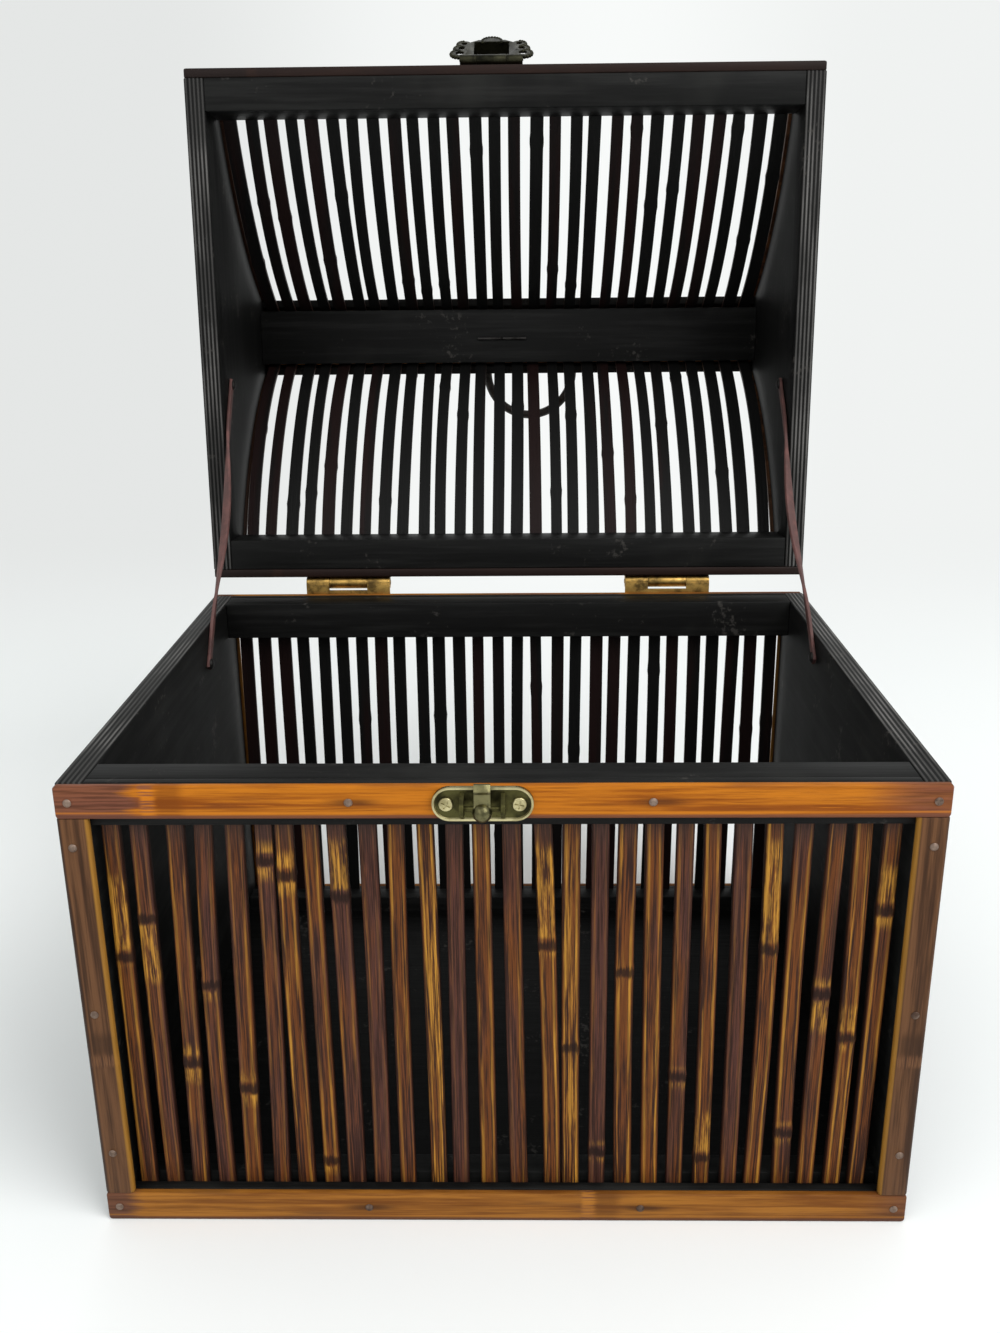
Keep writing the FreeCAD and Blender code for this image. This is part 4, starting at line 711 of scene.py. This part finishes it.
PHOTO_WIDTH = 1000
PHOTO_HEIGHT = 1333
TOP_ROW = 841
FOOT_ROW = 1163
FRONT_SLATS = (
    (111, 147, 0.0, 957, 0.45, 90, 14),
    (139, 173, -1.0, 918, 0.3, 0, 75),
    (175, 199.5, 0.0, 1062, 0.4, 25, 30),
    (204, 226.5, -3.6, 985, 0.25, 0, 22),
    (234, 253, 0.0, 1088, 0.4, 24, 26),
    (263, 281, 1.0, 860, 0.15, 24, 26),
    (284, 306, -1.0, 875, 0.45, 28, 28),
    (310, 331.5, 0.0, 1160, 0.35, 0, 22),
    (336, 356, 0.7, 897, 0.25, 65, 0),
    (367, 382, 1.3, 0, 0.12, 0, 0),
    (396, 408, -1.0, 0, 0.45, 0, 0),
    (425, 438.5, 1.0, 0, 0.8, 0, 0),
    (454, 461, 0.0, 0, 0.1, 0, 0),
    (481, 489, 0.0, 0, 0.5, 0, 0),
    (512, 519, -1.0, 0, 0.3, 0, 0),
    (543, 551.5, 1.6, 945, 0.45, 110, 20),
    (572, 570.5, -0.7, 1048, 0.68, 0, 0),
    (601, 596.5, 0.0, 1151, 0.12, 16, 18),
    (629, 623, -2.0, 972, 0.5, 0, 0),
    (655, 649, 0.0, 0, 0.5, 0, 0),
    (686, 674.5, 0.0, 1076, 0.3, 14, 20),
    (713, 701, 1.0, 1158, 0.5, 60, 0),
    (744, 728.5, 1.0, 0, 0.2, 0, 0),
    (774, 752.5, 3.0, 950, 0.5, 120, 0),
    (805, 782, -1.5, 1132, 0.4, 16, 20),
    (838, 807, -1.0, 994, 0.4, 22, 50),
    (863, 833, 2.5, 1038, 0.6, 42, 20),
    (893, 858, 0.5, 910, 0.45, 52, 26),
)


def camera_axes():
    """Forward, right and up of the camera."""
    setting = bpy.context.scene.chest_stage
    pitch, yaw, roll = setting.pitch, setting.yaw, setting.roll
    forward = Vector((math.sin(yaw) * math.cos(pitch), math.cos(yaw) * math.cos(pitch), -math.sin(pitch)))
    level = Vector((math.cos(yaw), -math.sin(yaw), 0.0))
    down = forward.cross(level)
    right = math.cos(roll) * level + math.sin(roll) * down
    return forward, right, right.cross(forward)


def from_photo(column, row, plane_y):
    """The point of an upright plane across Y that the photograph shows at a column and row."""
    setting = bpy.context.scene.chest_stage
    forward, right, up = camera_axes()
    focal = setting.lens / FRAME_MM * PHOTO_HEIGHT
    ray = forward * focal + right * (column - PHOTO_WIDTH / 2) - up * (row - PHOTO_HEIGHT / 2)
    eye = Vector(setting.eye)
    return eye + ray * ((plane_y - eye.y) / ray.y)


def front_slat_field(name, length, seed, front, low):
    """The front field, placed by the photograph."""
    size = sizes()
    draw = random.Random(seed)
    blank = slat_blank(length)
    slats = []
    for top_column, foot_column, bow, knot_row, tone, above, below in FRONT_SLATS:
        top = from_photo(top_column, TOP_ROW, front)
        foot = from_photo(foot_column, FOOT_ROW, front)
        slope = (top.x - foot.x) / (top.z - foot.z)
        middle = foot.x + slope * (low + length / 2 - foot.z)
        column_width = (from_photo(foot_column + 1, FOOT_ROW, front) - foot).length
        knots = [(from_photo(foot_column, knot_row, front).z - low) / length] if knot_row else []

        def where(p, middle=middle):
            return Vector((middle + p.x, front + p.y, low + p.z))

        slats.append(shaped_slat(
            blank, length, draw.random(), tone, -slope * length, bow * column_width,
            size.slat_width * draw.uniform(0.98, 1.1), knots, (above * column_width, below * column_width), where))
    return field_of(slats, blank, name)


def roof_centre():
    """Centre (y, z) of the hollow roof curve over the closed box's front."""
    rim = BOX_HEIGHT + RIM_GAP
    eave = (-HALF_DEPTH + LID_TRIM, rim + 2 * TRIM_HEIGHT)
    crown = (-CROWN_HALF, rim + CROWN_HEIGHT)
    along = (crown[0] - eave[0], crown[1] - eave[1])
    chord = math.hypot(*along)
    rise = math.sqrt(sizes().roof_radius ** 2 - (chord / 2) ** 2)
    middle = ((eave[0] + crown[0]) / 2, (eave[1] + crown[1]) / 2)
    return middle[0] - along[1] / chord * rise, middle[1] + along[0] / chord * rise


RIM_GAP = 1.0 * MM
LID_TRIM = 4.3 * MM
CROWN_HALF = 19.5 * MM
CROWN_HEIGHT = 119.0 * MM
FILLET = 4.0 * MM
SLAT_PLAY = 0.3 * MM


def softened(node, material, slot, ease=None):
    """A copy of a wooden CAD node with merged corners and eased edges."""
    source = frame["nodes"][node]
    body = source["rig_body"]
    piece = bpy.data.objects.new(node + "_eased", source.data.copy())
    bpy.context.scene.collection.objects.link(piece)
    make_active(piece)
    bpy.ops.object.mode_set(mode="EDIT")
    bpy.ops.mesh.select_all(action="SELECT")
    bpy.ops.mesh.remove_doubles(threshold=0.01 * MM)
    bpy.ops.mesh.dissolve_limited(angle_limit=math.radians(1.0))
    bpy.ops.object.mode_set(mode="OBJECT")
    bevel = piece.modifiers.new("ease", "BEVEL")
    bevel.width = ease if ease else sizes().ease
    bevel.segments = 2
    bevel.limit_method = "ANGLE"
    bevel.angle_limit = math.radians(35)
    bpy.ops.object.modifier_apply(modifier="ease")
    smooth(piece, 40)
    return dress(piece, body, material, slot, node)


# Operators

class ChestPiece:
    """What every operator of the chest shares."""

    bl_options = {"REGISTER", "UNDO"}


class CHEST_OT_box_slats(ChestPiece, bpy.types.Operator):
    """Make the front and back slats of the box"""

    bl_idname = "chest.box_slats"
    bl_label = "Box slats"

    def execute(self, context):
        low, high = SLAT_LOW.z, SLAT_HIGH.z
        front = SLAT_LOW.y
        material = slat_finish()

        def behind(station):
            return lambda p: HALF_TURN @ Vector((station + p.x, front + p.y, low + p.z))

        field = front_slat_field("front_slat_field", high - low, 11, front, low)
        dress(field, "box", material, "burnt_slat", "front_slats")
        dress(slat_field("back_slat_field", high - low, 12, behind), "box", material, "burnt_slat", "back_slats")
        return {"FINISHED"}


class CHEST_OT_lid_slats(ChestPiece, bpy.types.Operator):
    """Make the bent slats of the lid"""

    bl_idname = "chest.lid_slats"
    bl_label = "Lid slats"

    def execute(self, context):
        size = sizes()
        material = bpy.data.materials["burnt_bamboo"]
        rim = BOX_HEIGHT + RIM_GAP
        centre_y, centre_z = roof_centre()
        outer = size.roof_radius + FILLET
        first = -math.acos((-HALF_DEPTH + LID_TRIM + SLAT_PLAY - centre_y) / outer)
        last = math.asin((rim + CROWN_HEIGHT - SLAT_PLAY - centre_z) / (outer + size.slat_thick))
        length = (last - first) * outer
        for side, turn in (("front", Matrix.Identity(4)), ("back", HALF_TURN)):
            def where(station, turn=turn):
                def place(p):
                    angle = first + p.z / outer
                    radius = outer + p.y
                    return LID_OPEN @ turn @ Vector((
                        station + p.x, centre_y + radius * math.cos(angle), centre_z + radius * math.sin(angle)))
                return place

            field = slat_field("lid_%s_slat_field" % side, length, 21 if side == "front" else 22, where)
            dress(field, "lid", material, "burnt_slat", "lid_%s_slats" % side)
        return {"FINISHED"}


class CHEST_OT_carcass(ChestPiece, bpy.types.Operator):
    """Ease and paint the black wooden pieces"""

    bl_idname = "chest.carcass"
    bl_label = "Black wood"

    def execute(self, context):
        inner = HALF_WIDTH - (PANEL_HIGH.x - PANEL_LOW.x)
        plies = (inner, HALF_WIDTH)
        panel = black_wood_finish("black_panel", 1, plies=plies)
        batten = black_wood_finish("black_batten", 0)
        # Painted shade: the lid's end panels get the same black paint at 0.7 of its brightness.
        lid_panel = black_wood_finish("black_lid_panel", 1, closed=True, plies=plies, tone=0.7)
        lid_batten = black_wood_finish("black_lid_batten", 0, closed=True)
        for node in ("side_panel_left", "side_panel_right"):
            softened(node, panel, "black_wood")
        # Painted shade: the floor of the box gets the same black paint at 0.4 of its brightness.
        softened("bottom_panel", black_wood_finish("black_base", 0, tone=0.4), "black_wood")
        for node in ("lid_end_left", "lid_end_right"):
            softened(node, lid_panel, "black_wood")
        for face in ("front", "back"):
            for part in ("top_batten", "bottom_batten", "top_fillet", "bottom_fillet"):
                softened("%s_%s" % (face, part), batten, "black_wood")
            for part in ("batten", "eave_fillet"):
                softened("lid_%s_%s" % (face, part), lid_batten, "black_wood")
        for node in ("lid_crown_rail", "lid_crown_fillets"):
            softened(node, lid_batten, "black_wood")
        return {"FINISHED"}


class CHEST_OT_trims(ChestPiece, bpy.types.Operator):
    """Ease and colour the bamboo trims and posts"""

    bl_idname = "chest.trims"
    bl_label = "Bamboo trims"

    def execute(self, context):
        tint = colours()
        honey = (tuple(tint.honey), (0.46, 0.145, 0.007), (0.13, 0.036, 0.008), (0.125, 0.045, 0.027))
        amber = ((0.22, 0.072, 0.011), (0.32, 0.125, 0.018), (0.085, 0.033, 0.013), (0.09, 0.036, 0.022))
        brown = ((0.06, 0.026, 0.012), (0.125, 0.056, 0.024), (0.02, 0.009, 0.006), (0.03, 0.014, 0.009))
        umber = ((0.034, 0.012, 0.008), (0.06, 0.022, 0.011), (0.014, 0.007, 0.006), (0.012, 0.007, 0.006))

        def columns(row, *photo_columns):
            return [from_photo(column, row, -HALF_DEPTH).x for column in photo_columns]

        top = BOX_HEIGHT
        strips = (
            ("front_top_trim", (top - TRIM_HEIGHT, top), honey, (27 * MM, 20 * MM), columns(800, 147),
             columns(803, 353, 661), 1.0),
            ("front_bottom_trim", (0.0, TRIM_HEIGHT), amber, (12 * MM, 10 * MM), columns(1210, 588),
             columns(1210, 371, 644), 8.0),
            ("back_top_trim", (top - TRIM_HEIGHT, top), amber, (12 * MM, 30 * MM), (0.06,), (), 15.0),
            ("back_bottom_trim", (0.0, TRIM_HEIGHT), amber, (15 * MM, 15 * MM), (-0.08,), (), 23.0),
        )
        for node, (low, high), tones, smoky, knots, nails, seed in strips:
            finish = bamboo_strip_finish(node + "_bamboo", 0, 2, low, high, tones, seed=seed, smoky=smoky,
                                         knots=knots, nails=nails)
            softened(node, finish, "sanded_bamboo", 0.7 * MM)
        rim = BOX_HEIGHT + RIM_GAP
        for index, face in enumerate(("front", "back")):
            for row, part in enumerate(("rim_trim", "eave_trim")):
                low = rim + row * TRIM_HEIGHT
                finish = bamboo_strip_finish("lid_%s_%s_bamboo" % (face, part), 0, 2, low, low + TRIM_HEIGHT,
                                             (umber, amber)[row], closed=True, seed=31.0 + 7 * index + 3 * row,
                                             smoky=(30 * MM, 12 * MM), knots=(-0.12 + 0.2 * row,))
                softened("lid_%s_%s" % (face, part), finish, "sanded_bamboo", 0.7 * MM)
            for side in ("left", "right"):
                low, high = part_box("%s_%s_post" % (face, side))
                finish = bamboo_strip_finish("%s_%s_post_bamboo" % (face, side), 2, 0, low.x, high.x, brown,
                                             seed=50.0 + index * 5 + len(side), knots=(0.072 + 0.05 * index,),
                                             bare_edge=1 if low.x < 0 else -1)
                softened("%s_%s_post" % (face, side), finish, "sanded_bamboo")
        curved = bamboo_strip_finish("end_trim_bamboo", 1, 0, -HALF_WIDTH, HALF_WIDTH, brown, closed=True, seed=70.0)
        softened("lid_end_trims", curved, "sanded_bamboo", 0.6 * MM)
        cap = bamboo_strip_finish("crown_cap_bamboo", 0, 1, -20.5 * MM, 20.5 * MM, amber, closed=True, seed=80.0,
                                  smoky=(20 * MM, 20 * MM), knots=(0.05,))
        softened("lid_crown_cap", cap, "sanded_bamboo", 0.7 * MM)
        return {"FINISHED"}


class CHEST_OT_fittings(ChestPiece, bpy.types.Operator):
    """Ease and colour the hinges, ring and fasteners"""

    bl_idname = "chest.fittings"
    bl_label = "Hinges and fasteners"

    def execute(self, context):
        tint = colours()
        brass = metal_finish("hinge_metal", tuple(tint.brass), (0.12, 0.075, 0.026), 0.3)
        iron = metal_finish("blackened_iron", (0.05, 0.047, 0.045), (0.02, 0.019, 0.018), 0.4)
        steel = metal_finish("nail_heads", (0.26, 0.19, 0.15), (0.08, 0.05, 0.038), 0.42)
        for node in ("hinge_box_leaves", "hinge_lid_leaves", "hinge_pins", "hinge_box_screws", "hinge_lid_screws"):
            softened(node, brass, "hinge_brass", 0.2 * MM)
        for node in ("ring_pull", "ring_staple", "strap_box_tacks", "strap_lid_tacks"):
            repaint(node, iron)
        for node in ("front_nails", "back_nails", "lid_nails"):
            repaint(node, steel)
        return {"FINISHED"}


LATCH = Vector((-6.0, -123.7, 175.85)) * MM
LATCH_WIDTH = 34.5 * MM
LATCH_HEIGHT = 12.4 * MM
LATCH_ROUND = 6.1 * MM
LATCH_SCREWS = 12.45 * MM


def cross_screw(name, radius, height):
    """A domed screw head with a cross slot, its underside at y = 0, looking along -Y."""
    deselect()
    bpy.ops.mesh.primitive_cylinder_add(vertices=28, radius=radius, depth=height, location=(0, -height / 2, 0),
                                        rotation=(math.pi / 2, 0, 0))
    head = bpy.context.object
    head.name = name
    apply_place(head)
    edit(head)
    pick_edges(head, lambda a, b: max(a.y, b.y) < -0.9 * height)
    bpy.ops.mesh.bevel(offset=0.45 * height, segments=3, affect="EDGES")
    finish_edit()
    reach, half, deep = 0.66 * radius, 0.11 * radius, 0.45 * height
    arms = [block("slot", (-reach, -2 * height, -half), (reach, -height + deep, half)),
            block("slot", (-half, -2 * height, -reach), (half, -height + deep, reach))]
    for arm in arms:
        cut = head.modifiers.new("slot", "BOOLEAN")
        cut.operation = "DIFFERENCE"
        cut.object = arm
        make_active(head)
        bpy.ops.object.modifier_apply(modifier="slot")
        bpy.data.objects.remove(arm)
    smooth(head, 35)
    return head


def copied(piece, place, turn=0.0):
    """A copy with its own mesh, turned about Y and moved to place."""
    twin = bpy.data.objects.new(piece.name, piece.data.copy())
    bpy.context.scene.collection.objects.link(twin)
    twin.data.transform(Matrix.Translation(place) @ Matrix.Rotation(turn, 4, "Y"))
    return twin


class CHEST_OT_latch(ChestPiece, bpy.types.Operator):
    """Make the latch: plate with a raised rim, ears, lever and cross-head screws"""

    bl_idname = "chest.latch"
    bl_label = "Latch"

    def execute(self, context):
        tint = colours()
        rim_metal = metal_finish("latch_rim_metal", (0.58, 0.52, 0.29), tuple(tint.antique), 0.22)
        field_metal = metal_finish("latch_field_metal", (0.085, 0.078, 0.028), (0.022, 0.02, 0.009), 0.34)
        lever_metal = metal_finish("latch_lever_metal", (0.17, 0.155, 0.075), (0.05, 0.047, 0.024), 0.2)
        rim = block("latch_rim", LATCH - Vector((LATCH_WIDTH / 2, 0.45 * MM, LATCH_HEIGHT / 2)),
                    LATCH + Vector((LATCH_WIDTH / 2, 0.9 * MM, LATCH_HEIGHT / 2)))
        rim.data.materials.append(rim_metal)
        rim.data.materials.append(field_metal)
        edit(rim)
        pick_edges(rim, lambda a, b: abs(a.y - b.y) > 1 * MM)
        bpy.ops.mesh.bevel(offset=LATCH_ROUND, segments=12, affect="EDGES")
        pick_faces(rim, lambda normal: normal.y < -0.9)
        bpy.ops.mesh.inset(thickness=0.35 * MM)
        bpy.ops.transform.translate(value=(0, -0.12 * MM, 0))
        bpy.ops.mesh.inset(thickness=0.4 * MM)
        bpy.ops.mesh.inset(thickness=0.35 * MM)
        bpy.ops.transform.translate(value=(0, 0.5 * MM, 0))
        rim.active_material_index = 1
        bpy.ops.object.material_slot_assign()
        finish_edit()
        smooth(rim, 50)
        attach(rim, "box")
        for node, metal in (("latch_plate", field_metal), ("latch_lever", lever_metal), ("latch_pin", field_metal),
                            ("latch_spring", field_metal)):
            softened(node, metal, "antique_brass", 0.25 * MM)
        head = cross_screw("latch_screw_heads", 2.5 * MM, 1.0 * MM)
        screws = [copied(head, LATCH + Vector((side * LATCH_SCREWS, 0.05 * MM, 0)), turn)
                  for side, turn in ((-1, 0.5), (1, 0.2))]
        bpy.data.objects.remove(head)
        dress(join(screws, "latch_screw_heads"), "box", rim_metal, "antique_brass", "latch_screws")
        return {"FINISHED"}


HASP_PIN = Vector((-6.0, 149.93, 437.57)) * MM
HASP_FAR = Vector((0, 0.883, 0.469))
# Hood over the slot: width, near and far end along the flap, depth. Tip: place along the flap and radius.
# Lobes: place along the flap, reach to the side and radius.

HASP_DOME = (17.8 * MM, 8.6 * MM, 21.2 * MM, 7.5 * MM)
HASP_TIP = (22.0 * MM, 4.7 * MM)
HASP_LOBES = ((7.2 * MM, 15.15 * MM, 4.2 * MM), (13.2 * MM, 14.5 * MM, 3.4 * MM), (18.6 * MM, 13.3 * MM, 3.15 * MM))


class CHEST_OT_hasp(ChestPiece, bpy.types.Operator):
    """Make the beaded hasp flap and its leaf"""

    bl_idname = "chest.hasp"
    bl_label = "Hasp"

    def execute(self, context):
        bronze = metal_finish("hasp_metal", (0.034, 0.033, 0.02), (0.01, 0.01, 0.007), 0.35)
        for node in ("hasp_leaf", "hasp_flap", "hasp_pin", "hasp_screws"):
            softened(node, bronze, "antique_brass", 0.2 * MM)
        width, near, far, out = HASP_DOME
        dome = block("hasp_dome", (-width / 2, near, -out), (width / 2, far, 0))
        edit(dome)
        pick_edges(dome, lambda a, b: abs(a.z - b.z) > out / 2 and a.y > (near + far) / 2)
        bpy.ops.mesh.bevel(offset=3 * MM, segments=4, affect="EDGES")
        pick_edges(dome, lambda a, b: max(a.z, b.z) < -0.9 * out and max(a.y, b.y) > near + 1 * MM)
        bpy.ops.mesh.bevel(offset=2.4 * MM, segments=5, affect="EDGES")
        pick_faces(dome, lambda normal: normal.z > 0.9 or normal.y < -0.9)
        bpy.ops.mesh.delete(type="FACE")
        finish_edit()
        shell = dome.modifiers.new("shell", "SOLIDIFY")
        shell.thickness = 0.4 * MM
        shell.offset = -1
        make_active(dome)
        bpy.ops.object.modifier_apply(modifier="shell")
        turn = Matrix((Vector((1, 0, 0)), HASP_FAR, Vector((1, 0, 0)).cross(HASP_FAR))).transposed()
        dome.data.transform(Matrix.Translation(HASP_PIN) @ turn.to_4x4())
        smooth(dome, 50)
        dress(dome, "hasp", bronze, "antique_brass")
        deselect()
        bpy.ops.mesh.primitive_uv_sphere_add(segments=12, ring_count=8, radius=0.95 * MM)
        bead = context.object
        bead.name = "hasp_beads"
        apply_place(bead)
        beads = []
        drop, radius = HASP_TIP
        for step in range(13):
            angle = math.radians(-12 + 17 * step)
            across, along = radius * math.cos(angle), drop + radius * math.sin(angle)
            beads.append(copied(bead, HASP_PIN + Vector((across, 0, 0)) + HASP_FAR * along))
        for drop, reach, radius in HASP_LOBES:
            for side in (-1, 1):
                for step in range(9):
                    angle = math.radians(-80 + 20 * step)
                    across = side * (reach + radius * math.cos(angle))
                    along = drop + radius * math.sin(angle)
                    beads.append(copied(bead, HASP_PIN + Vector((across, 0, 0)) + HASP_FAR * along))
        bpy.data.objects.remove(bead)
        piece = join(beads, "hasp_beads")
        smooth(piece, 60)
        dress(piece, "hasp", bronze, "antique_brass")
        return {"FINISHED"}


def tack_place(node, side):
    """Middle of a tack on the left (-1) or right (1)."""
    points = [vertex.co for vertex in frame["nodes"][node].data.vertices if vertex.co.x * side > 0]
    return sum(points, Vector()) / len(points)


class CHEST_OT_straps(ChestPiece, bpy.types.Operator):
    """Make the leather straps, slack and half twisted"""

    bl_idname = "chest.straps"
    bl_label = "Straps"

    def execute(self, context):
        size = sizes()
        leather = leather_finish()
        for node, side in (("strap_left", -1), ("strap_right", 1)):
            bottom = tack_place("strap_box_tacks", side)
            top = tack_place("strap_lid_tacks", side)
            low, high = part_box(node)
            bottom.x = top.x = (low.x + high.x) / 2
            along = (top - bottom).normalized()
            length = (top - bottom).length + size.strap_width
            half, thick = size.strap_width / 2, size.strap_thick / 2
            strap = block(node + "_leather", (-thick, -half, 0), (thick, half, length))
            edit(strap)
            pick_edges(strap, lambda a, b: abs(a.z - b.z) > length / 2)
            bpy.ops.mesh.bevel(offset=0.3 * MM, segments=2, affect="EDGES")
            pick_edges(strap, lambda a, b: abs(a.z - b.z) > length / 2)
            bpy.ops.mesh.subdivide(number_cuts=47)
            finish_edit()
            level = along.cross(Vector((1, 0, 0)))
            for vertex in strap.data.vertices:
                share = vertex.co.z / length
                slack = math.sin(math.pi * min(max((share - 0.12) / 0.76, 0), 1)) ** 2
                turn = math.radians(side * 62) * slack
                across = Vector((math.cos(turn), 0, 0)) - level * math.sin(turn)
                wide = level * math.cos(turn) + Vector((math.sin(turn), 0, 0))
                place = bottom - along * size.strap_width / 2 + along * vertex.co.z
                place.x -= side * 2.5 * MM * slack
                vertex.co = place + across * vertex.co.x + wide * vertex.co.y
            make_active(strap)
            bpy.ops.object.mode_set(mode="EDIT")
            bpy.ops.mesh.select_all(action="SELECT")
            bpy.ops.mesh.normals_make_consistent(inside=False)
            bpy.ops.object.mode_set(mode="OBJECT")
            smooth(strap, 50)
            strap.data.materials.append(leather)
            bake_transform(strap)
            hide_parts(node)
        return {"FINISHED"}


class CHEST_OT_stage(ChestPiece, bpy.types.Operator):
    """Make the floor, the backdrop, the light and the camera"""

    bl_idname = "chest.stage"
    bl_label = "Stage"

    def execute(self, context):
        scene = context.scene
        setting = scene.chest_stage
        deselect()
        bpy.ops.mesh.primitive_plane_add(size=6.0, location=(0, 1.2, 0))
        floor = context.object
        floor.name = "floor"
        apply_place(floor)
        edit(floor)
        pick_edges(floor, lambda a, b: min(a.y, b.y) > 4.0)
        bpy.ops.mesh.extrude_region_move(TRANSFORM_OT_translate={"value": (0, 0, 4.0)})
        pick_edges(floor, lambda a, b: abs(a.z) + abs(b.z) < 1e-6 and min(a.y, b.y) > 4.0)
        bpy.ops.mesh.bevel(offset=1.5, segments=16, affect="EDGES")
        finish_edit()
        smooth(floor, 60)
        floor.data.materials.append(floor_finish())

        world = bpy.data.worlds.new("studio")
        scene.world = world
        world.use_nodes = True
        background = world.node_tree.nodes["Background"]
        background.inputs["Color"].default_value = (0.97, 1.0, 0.995, 1.0)
        ray = world.node_tree.nodes.new("ShaderNodeLightPath")
        seen = Wire(world.node_tree, ray.outputs["Is Camera Ray"])
        feed(world.node_tree, background.inputs["Strength"], setting.sky + seen * (0.9 - setting.sky))

        lamps = (
            ("key_light", (0.9, -0.8, 1.4), 1.2, 20.0),
            ("fill_light", (-0.8, -1.1, 1.2), 1.2, 6.0),
            ("back_light", (0.0, 1.6, 1.9), 1.6, 6.0),
        )
        for name, spot, width, power in lamps:
            data = bpy.data.lights.new(name, "AREA")
            data.shape = "SQUARE"
            data.size = width
            data.energy = power
            lamp = bpy.data.objects.new(name, data)
            scene.collection.objects.link(lamp)
            lamp.location = spot
            aim = Vector((0, 0, 0.15)) - Vector(spot)
            lamp.rotation_euler = aim.to_track_quat("-Z", "Y").to_euler()

        forward, right, up = camera_axes()
        turn = Matrix((right, up, -forward)).transposed()
        camera_data = bpy.data.cameras.new("camera")
        camera_data.sensor_width = FRAME_MM
        camera_data.lens = setting.lens
        camera_data.clip_start = 0.01
        camera = bpy.data.objects.new("camera", camera_data)
        scene.collection.objects.link(camera)
        camera.matrix_world = Matrix.Translation(Vector(setting.eye)) @ turn.to_4x4()
        scene.camera = camera
        scene.view_settings.view_transform = "Standard"
        return {"FINISHED"}


class CHEST_PT_panel(bpy.types.Panel):
    """The chest's pieces, sizes and colours"""

    bl_label = "Bamboo chest"
    bl_idname = "CHEST_PT_panel"
    bl_space_type = "VIEW_3D"
    bl_region_type = "UI"
    bl_category = "Chest"

    def draw(self, context):
        layout = self.layout
        for operator in OPERATORS:
            layout.operator(operator.bl_idname)
        for group in (context.scene.chest_sizes, context.scene.chest_colours, context.scene.chest_stage):
            for name in group.__annotations__:
                layout.prop(group, name)


GROUPS = (ChestSizes, ChestColours, ChestStage)
OPERATORS = (
    CHEST_OT_box_slats,
    CHEST_OT_lid_slats,
    CHEST_OT_carcass,
    CHEST_OT_trims,
    CHEST_OT_fittings,
    CHEST_OT_latch,
    CHEST_OT_hasp,
    CHEST_OT_straps,
    CHEST_OT_stage,
)


def register():
    for cls in (*GROUPS, *OPERATORS, CHEST_PT_panel):
        bpy.utils.register_class(cls)
    bpy.types.Scene.chest_sizes = PointerProperty(type=ChestSizes)
    bpy.types.Scene.chest_colours = PointerProperty(type=ChestColours)
    bpy.types.Scene.chest_stage = PointerProperty(type=ChestStage)


def unregister():
    for name in ("chest_sizes", "chest_colours", "chest_stage"):
        delattr(bpy.types.Scene, name)
    for cls in reversed((*GROUPS, *OPERATORS, CHEST_PT_panel)):
        bpy.utils.unregister_class(cls)


def main():
    register()
    bpy.ops.chest.stage()
    bpy.ops.chest.box_slats()
    bpy.ops.chest.lid_slats()
    bpy.ops.chest.carcass()
    bpy.ops.chest.trims()
    bpy.ops.chest.fittings()
    bpy.ops.chest.latch()
    bpy.ops.chest.hasp()
    bpy.ops.chest.straps()
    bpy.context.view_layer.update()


if __name__ == "__main__":
    main()
